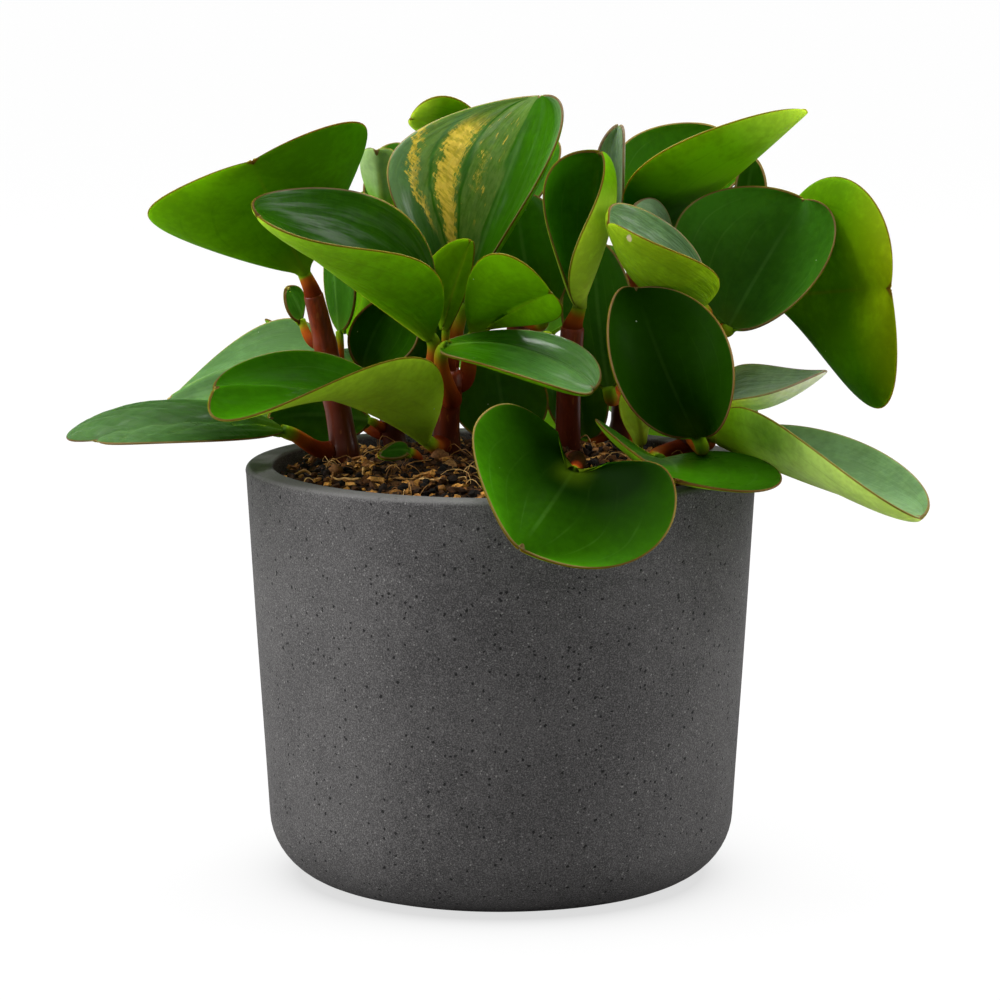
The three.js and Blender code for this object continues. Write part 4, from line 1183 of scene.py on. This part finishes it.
def stalk_rings(leaf, sides):
    """The stalk: a cubic curve that leaves the stem sideways (or goes on from its top) and meets the
    midrib end on, with rings whose up follows the blade's, and a flared foot. Also gives each
    ring's share from stem (0) to blade (1)."""
    on, at, side = leaf["joint"]
    scale = STALK_SMALL if leaf.get("small") else 1.0
    if on == "soil":
        start, out = np.array(side), np.array([0.0, 0.0, 1.0])
        foot = STALK_AT_STEM * scale
    else:
        *curve, thick, thin = STEMS[on]
        if side == "top":
            start, out = arc(curve, 1.0)
            foot = STALK_TOP_FOOT * thin * scale
        else:
            start, axis = arc(curve, at)
            angle = math.radians(side)
            out = np.array([math.cos(angle), math.sin(angle), 0.0])
            out = unit(out - out @ axis * axis)
            start = start + out * (thick + (thin - thick) * at - STALK_SUNK)
            foot = STALK_AT_STEM * STALK_SIDE_FOOT * scale
    end, into = arc(leaf["rib"], 0.0)
    reach = np.linalg.norm(end - start)
    first, second = start + out * STALK_BEND_OUT * reach, end - into * STALK_BEND_IN * reach
    t = np.linspace(0, 1, STALK_RINGS)
    s = t[:, None]
    r = 1 - s
    path = start * r ** 3 + first * 3 * s * r ** 2 + second * 3 * s * s * r + end * s ** 3
    along = unit((first - start) * r ** 2 + (second - first) * 2 * s * r + (end - second) * s * s)
    ups = [blade_normal(leaf, np.array([0.1]), np.array([0.0]))[0]]
    for way in along[::-1]:
        ups.append(unit(ups[-1] - ups[-1] @ way * way))
    ups = np.array(ups[1:])[::-1]
    straight = (STALK_AT_STEM + (STALK_AT_BLADE - STALK_AT_STEM) * t) * scale
    radius = straight + (foot - straight[0]) * np.exp(-t * reach / STALK_FLARE)
    return round_rings(path, along, ups, radius, sides), t


def relief(leaf, u, v, from_rib):
    """How far the upper face is raised: less a narrow groove over each vein and over the midrib, and
    with the folds of a puckered leaf, which sweep forward with the share out to the power 1.3."""
    out = np.abs(v)
    inside = np.clip((0.97 - out) * 8, 0, 1)
    wave = np.cos(2 * math.pi * (VEIN_COUNT * out + VEIN_FIRST))
    veins = VEIN_DEPTH * np.exp((wave - 1) / 0.15) * inside * np.sin(math.pi * u)
    rib_depth = RIB_DEPTH * (RIB_SMALL if leaf.get("small") else 1)
    rib = rib_depth * np.exp(-((from_rib / RIB_WIDTH) ** 2)) * (1 - 0.6 * u)
    swept = FOLD_SWEEP * out ** 1.3
    fold = (u - swept) / (1 - swept)
    wave = np.cos(2 * math.pi * FOLD_COUNT * fold)
    pucker = 0.5 * (1 - wave) - 1.2 * np.exp((wave - 1) / 0.1)
    off_rib = np.clip(fold * 12, 0, 1) * np.clip(out * 12, 0, 1)
    return leaf.get("folds", 0) * pucker * inside * off_rib - veins - rib


def leaf_mesh(name, leaf, stations, halves):
    """The closed leaf: stalk rings, then blade rings of upper points left to right and lower points
    back. Upper and lower lie half a thickness from the middle surface, which thins with v squared
    and rounds over at the edge; the upper face has the sunk midrib and veins, the lower the keel."""
    near_edge = np.sin(np.linspace(0, math.pi / 2, halves))
    v = np.concatenate([-near_edge[:0:-1], near_edge])
    u = (1 - np.cos(math.pi * np.arange(1, stations + 1) / stations)) / 2
    u, v = np.meshgrid(u, v, indexing="ij")
    middle = blade(leaf, u, v)
    normal = blade_normal(leaf, u, v)
    rib_line = blade(leaf, u, np.zeros_like(v))
    from_rib = np.linalg.norm(middle - rib_line, axis=-1)
    edge_point = blade(leaf, u, np.where(v < 0, -1.0, 1.0))
    half_width = np.linalg.norm(edge_point - rib_line, axis=-1)
    length = np.linalg.norm(np.diff(rib_line[:, 0], axis=0), axis=-1).sum()
    rim = np.minimum((1 - np.abs(v)) * half_width, (1 - u) * length * 1.3 + 0.0002)

    rounding = np.clip((np.abs(v) - EDGE_ROUND_FROM) / (1 - EDGE_ROUND_FROM), 0, 1)
    thick = BLADE_THICKNESS - (BLADE_THICKNESS - BLADE_EDGE) * v * v
    thick = thick * np.sqrt(np.maximum(0.05, 1 - rounding ** 2))
    keel_share = np.clip(1 - from_rib / KEEL_WIDTH, 0, 1)
    keel = BLADE_KEEL * (1 - u) * keel_share ** 2 * (3 - 2 * keel_share)
    lift = thick / 2 + relief(leaf, u, v, from_rib)
    upper = middle + normal * lift[..., None]
    lower = middle - normal * (thick / 2 + keel)[..., None]
    rings = np.concatenate([upper, lower[:, ::-1]], axis=1)
    sides = rings.shape[1]
    stalk, stalk_share = stalk_rings(leaf, sides)
    mesh = rings_mesh(name, np.concatenate([stalk, rings]))

    def kept(key, on_stalk, on_blade, on_lower=None):
        """Stores a value for stalk rings, blade rings and the two end centres."""
        both = np.concatenate([on_blade, (on_blade if on_lower is None else on_lower)[:, ::-1]], axis=1)
        stalk_part = np.broadcast_to(np.asarray(on_stalk, dtype=float).reshape(-1, 1), (STALK_RINGS, sides))
        grid = np.concatenate([stalk_part, both])
        point_values(mesh, key, np.concatenate([grid.ravel(), [grid[0].mean(), grid[-1].mean()]]))

    kept("along", 0.0, u)
    kept("across", 0.0, v)
    kept("rim", 0.01, rim)
    kept("rib", 0.0, from_rib)
    kept("under", 0.5, 0 * u, 0 * u + 1)
    kept("stalk", np.minimum(2, (1 - stalk_share) * leaf.get("red", 1.0)), 0 * u)
    for key, tone in zip(TONES, leaf.get("tones", PLAIN_TONES)):
        value, to_tip, to_right, to_edge = tone if isinstance(tone, tuple) else (tone, 0, 0, 0)
        kept(key, value, np.clip(value + to_tip * u + to_right * v + to_edge * v * v, 0, 1))
    return mesh


def leaf_colour_group():
    """Colour, roughness and bump height of a leaf from where on it the point lies: upper or lower
    face, veins by their label, the line along the edge, and the stalk from green to dark red."""
    group, g, given, result = new_group(
        "leaf_colours",
        {"Place": "vector", "Streak": "value", "Streak Colour": "colour"},
        {"Colour": "colour", "Roughness": "value", "Wax": "value", "Height": "value"})
    place = given["Place"]
    u, v, rim, rib, under, stalk = map(g.attribute, ("along", "across", "rim", "rib", "under", "stalk"))
    light, grey, yellow_and_glow, gloss, olive = map(g.attribute, TONES)
    share = g.math("ABSOLUTE", v)
    wander = (g.noise(place, 60.0, 1.0) - 0.5) * 0.35
    label = share * VEIN_COUNT + (wander + VEIN_FIRST)
    wave = g.math("COSINE", label * (2 * math.pi))
    vein = g.ramp(wave, 0.94, 1.0) * g.ramp(share, 0.93, 0.7)
    vein = vein * (g.ramp(u, 0.04, 0.2) * g.ramp(u, 0.95, 0.6))
    vein = vein * g.ramp(g.noise(place, 45.0, 2.0), 0.38, 0.62, 0.15, 1.0)
    midrib = g.ramp(rib, 0.0009, 0.0002) * g.ramp(u, 1.0, 0.5)

    cloud = mottled(g, place, 42.0, 420.0)
    # the light tone is each leaf's own depth of green, but its gradients along and across the blade are
    # partly painted shade and light
    top = g.mix(light, (0.003, 0.015, 0.0003), (0.045, 0.200, 0.002))
    # painted sheen: the grey tone paints a grey-white reflection of the bright surroundings on the upper
    # face
    top = g.mix(grey, top, (0.280, 0.420, 0.230))
    top = g.mix(given["Streak"], top, given["Streak Colour"])
    paler = g.mix(light * 0.5 + 0.15, top, (0.13, 0.3, 0.05))
    top = g.mix(vein * g.ramp(light, 0.0, 0.6, 0.1, 0.32), top, paler)
    top = g.mix(midrib * g.ramp(light, 0.0, 0.6, 0.25, 0.75), top, paler)
    # the lower face runs from dark green through yellow-green to bright lime: partly its own paler colour,
    # partly painted light that shines through it or falls on it
    low = g.mix(g.ramp(yellow_and_glow, 0.0, 0.5), (0.008, 0.085, 0.0003), (0.130, 0.340, 0.0015))
    low = g.mix(g.ramp(yellow_and_glow, 0.5, 1.0), low, (0.640, 0.900, 0.070))
    low = g.mix(olive, low, (0.440, 0.370, 0.004))
    # painted sheen: where the grey tone is high, the lower face is painted near white towards the tip, a
    # reflection of the bright surroundings
    painted_sheen_below = g.ramp(grey, 0.45, 1.0) * g.ramp(u, 0.1, 0.6)
    low = g.mix(painted_sheen_below, low, (0.920, 0.960, 0.720))
    low = g.mix(vein * 0.14, low, (0.02, 0.08, 0.001))
    low = g.mix(midrib * 0.45, low, (0.2, 0.26, 0.01))
    skin = g.mix(g.ramp(under, 0.35, 0.65), top, low)
    skin = g.mix(g.ramp(cloud, 0.40, 0.62, 0.25, 0.0), skin, (0.003, 0.014, 0.0005))
    speck = g.ramp(g.cells(place, 700.0), 0.08, 0.03, 0.0, 0.12)
    skin = g.mix(speck, skin, (0.12, 0.2, 0.05))
    dust = g.spots(place, 260.0, 0.075, 0.045, 0.93, 0.94)
    skin = g.mix(dust * 0.6, skin, (0.5, 0.58, 0.42))
    off_scar = g.node("ShaderNodeVectorMath", {0: place, 1: SCAR_PLACE}, "Value", operation="DISTANCE")
    off_scar = off_scar + g.noise(place, 900.0, 1.0) * 0.0011
    skin = g.mix(g.ramp(off_scar, 0.0017, 0.0014), skin, (0.46, 0.40, 0.27))
    base_glow = g.ramp(u, 0.25, 0.0) * g.ramp(rib, 0.009, 0.001)
    base_glow = base_glow * g.ramp(under, 0.2, 0.6, 0.2, 0.65)
    skin = g.mix(base_glow, skin, (0.15, 0.26, 0.006))
    edge = g.ramp(rim, 0.00052, 0.0002) * g.ramp(u, 0.004, 0.03)
    # painted highlight: on the upper face the edge line is painted beige in patches, where it would catch
    # the light
    beige_highlight = g.ramp(under, 0.65, 0.35)
    beige_highlight = beige_highlight * g.ramp(g.noise(place, 30.0, 1.0), 0.42, 0.58, 0.25, 1.0)
    line = g.mix(beige_highlight, (0.080, 0.014, 0.005), (0.20, 0.12, 0.055))
    skin = g.mix(edge * 0.85, skin, line)
    stalk_green = g.mix(g.ramp(stalk, 0.02, 0.4), (0.18, 0.32, 0.008), (0.34, 0.075, 0.007))
    stalk_red = g.mix(g.ramp(stalk, 0.35, 0.85), stalk_green, (0.14, 0.019, 0.004))
    # painted shade: a stalk whose red runs past one turns near-black brown, for the shadow it lies in under
    # its blade
    stalk_red = g.mix(g.ramp(stalk, 1.0, 2.0), stalk_red, (0.022, 0.008, 0.002))
    skin = g.mix(g.ramp(stalk, 0.0, 0.04), skin, stalk_red)
    g.link(skin, result["Colour"])
    rough = g.node("ShaderNodeMapRange", {0: under, 1: 0.35, 2: 0.65, 3: 0.30, 4: 0.46})
    rough = rough + (cloud - 0.5) * 0.25
    g.link(rough, result["Roughness"])
    skin_tooth = g.noise(place, 1300.0, 2.0)
    height = skin_tooth * 0.08 - vein * 0.12
    height = height + cloud * 0.8
    ripple = g.noise(place, 130.0, 1.0)
    height = height + ripple * 1.6
    grid = g.node("ShaderNodeCombineXYZ", {0: u * 2.5, 1: v * 7.0})
    crease = g.noise(grid, 1.0, 3.0, 0.6)
    height = height + crease * gloss * 16.0
    wax = gloss * g.ramp(crease, 0.45, 0.62, 0.12, 1.0)
    g.link(wax * g.ramp(under, 0.35, 0.65, 1.0, 0.15), result["Wax"])
    g.link(height, result["Height"])
    return group


LEAF_COLOURS = leaf_colour_group()

LEAF_SPECULAR = 0.004
LEAF_SUBSURFACE = 0.5
LEAF_LIGHT_PATH = 0.0035
WAX_ROUGHNESS = 0.33
# golden streaks of the marked leaf: share across, half width, and where they start and stop
MARK_STREAKS = [(-0.46, 0.085, -0.1, 0.93), (-0.76, 0.032, 0.20, 0.88), (-0.20, 0.004, 0.45, 0.75)]
MARK_RUN_OUT = 0.38  # how much nearer to the midrib the bands lie at the tip than their share across
MARK_LINES = [-0.60, -0.33, -0.02]  # dark veins between the bands
MARK_PALE = (-0.38, 0.36)  # paler green ground: its middle and half width
MARK_PALE_GREEN = (0.135, 0.240, 0.035)


def leaf_material(name, marked=False):
    """Waxy leaf skin that lets a little light through. The marked one has a paler left half with
    ragged golden streaks between dark veins."""
    material, g, shader = new_material(name, (0.02, 0.09, 0.004), 0.3, LEAF_SPECULAR)
    place = g.object_place()
    values = {"Place": place, "Streak": 0.0, "Streak Colour": (0.5, 0.4, 0.05)}
    if marked:
        # bands run between the veins and draw together towards the base
        u, v = g.attribute("along"), g.attribute("across")
        spread = g.node("ShaderNodeMapRange", {0: u, 1: 0.0, 2: 0.45, 3: 0.45, 4: 1.0})
        shrink = g.ramp(u, 0.4, 1.1) * MARK_RUN_OUT
        lane = g.math("DIVIDE", v, spread) * (1.0 - shrink)
        run = g.node("ShaderNodeCombineXYZ", {0: u * 7.0, 1: v * 16.0})
        slow = (g.noise(run, 0.6, 1.0) - 0.5) * 0.1
        ragged = (g.noise(run, 3.5, 4.0, 0.75) - 0.5) * 0.2
        slant = u * 46.0 + v * 14.0
        across_run = g.node("ShaderNodeCombineXYZ", {0: slant, 1: v * 9.0})
        hatch = g.noise(across_run, 1.0, 2.0, 0.6)
        feather = (hatch - 0.5) * 0.16
        lane = lane + slow
        torn = lane + ragged + feather

        def band(where, middle, half, soft, start, stop):
            off = g.math("ABSOLUTE", where - middle)
            ends = g.ramp(u, start, start + 0.1) * g.ramp(u, stop, stop - 0.12)
            return g.ramp(off, half + soft, half - soft) * ends

        gold = u * 0.0
        for middle, half, start, stop in MARK_STREAKS:
            gold = g.math("MAXIMUM", gold, band(torn, middle, half, 0.02, start, stop))
        flecks = g.noise(run, 6.0, 4.0, 0.7)
        specks = band(torn, -0.2, 0.12, 0.08, 0.3, 1.0)
        specks = specks * g.ramp(g.noise(run, 1.6, 3.0, 0.7), 0.6, 0.66)
        gold = g.math("MAXIMUM", gold, specks) * g.ramp(flecks, 0.28, 0.38, 0.5, 1.0)
        pale = band(lane, MARK_PALE[0], MARK_PALE[1], 0.03, -0.1, 1.1)
        for dark_line in MARK_LINES:
            gap = 1.0 - band(lane, dark_line, 0.016, 0.014, -0.2, 1.2)
            pale = pale * gap
            gold = gold * gap
        pale = pale * g.ramp(g.noise(run, 2.4, 3.0, 0.7), 0.3, 0.6, 0.45, 0.9)
        golden = g.mix(g.ramp(hatch, 0.38, 0.60), (0.46, 0.37, 0.030), (0.74, 0.54, 0.07))
        values["Streak"] = g.math("MAXIMUM", gold, pale * 0.9)
        values["Streak Colour"] = g.mix(gold, MARK_PALE_GREEN, golden)
    made = g.use(LEAF_COLOURS, values)
    g.cover(shader, made["Colour"], 0.3, 0.0004, made["Height"])
    g.link(made["Roughness"], shader.inputs["Roughness"])
    g.link(made["Wax"], shader.inputs["Coat Weight"])
    shader.inputs["Coat Roughness"].default_value = WAX_ROUGHNESS
    shader.inputs["Subsurface Weight"].default_value = LEAF_SUBSURFACE
    shader.inputs["Subsurface Radius"].default_value = (1.0, 1.0, 0.3)
    shader.inputs["Subsurface Scale"].default_value = LEAF_LIGHT_PATH
    return material


STATIONS, HALVES = 44, 17
SMALL_STATIONS, SMALL_HALVES = 28, 11

leaf_skin = leaf_material("leaf_skin")
marked_skin = leaf_material("marked_leaf_skin", marked=True)
for leaf_name, leaf in LEAVES.items():
    fineness = (SMALL_STATIONS, SMALL_HALVES) if leaf.get("small") else (STATIONS, HALVES)
    marked = leaf_name == "leaf_marked"
    show(leaf_name, leaf_mesh(leaf_name, leaf, *fineness), "leaf_marked" if marked else "leaf",
         [marked_skin if marked else leaf_skin], leaf_name)
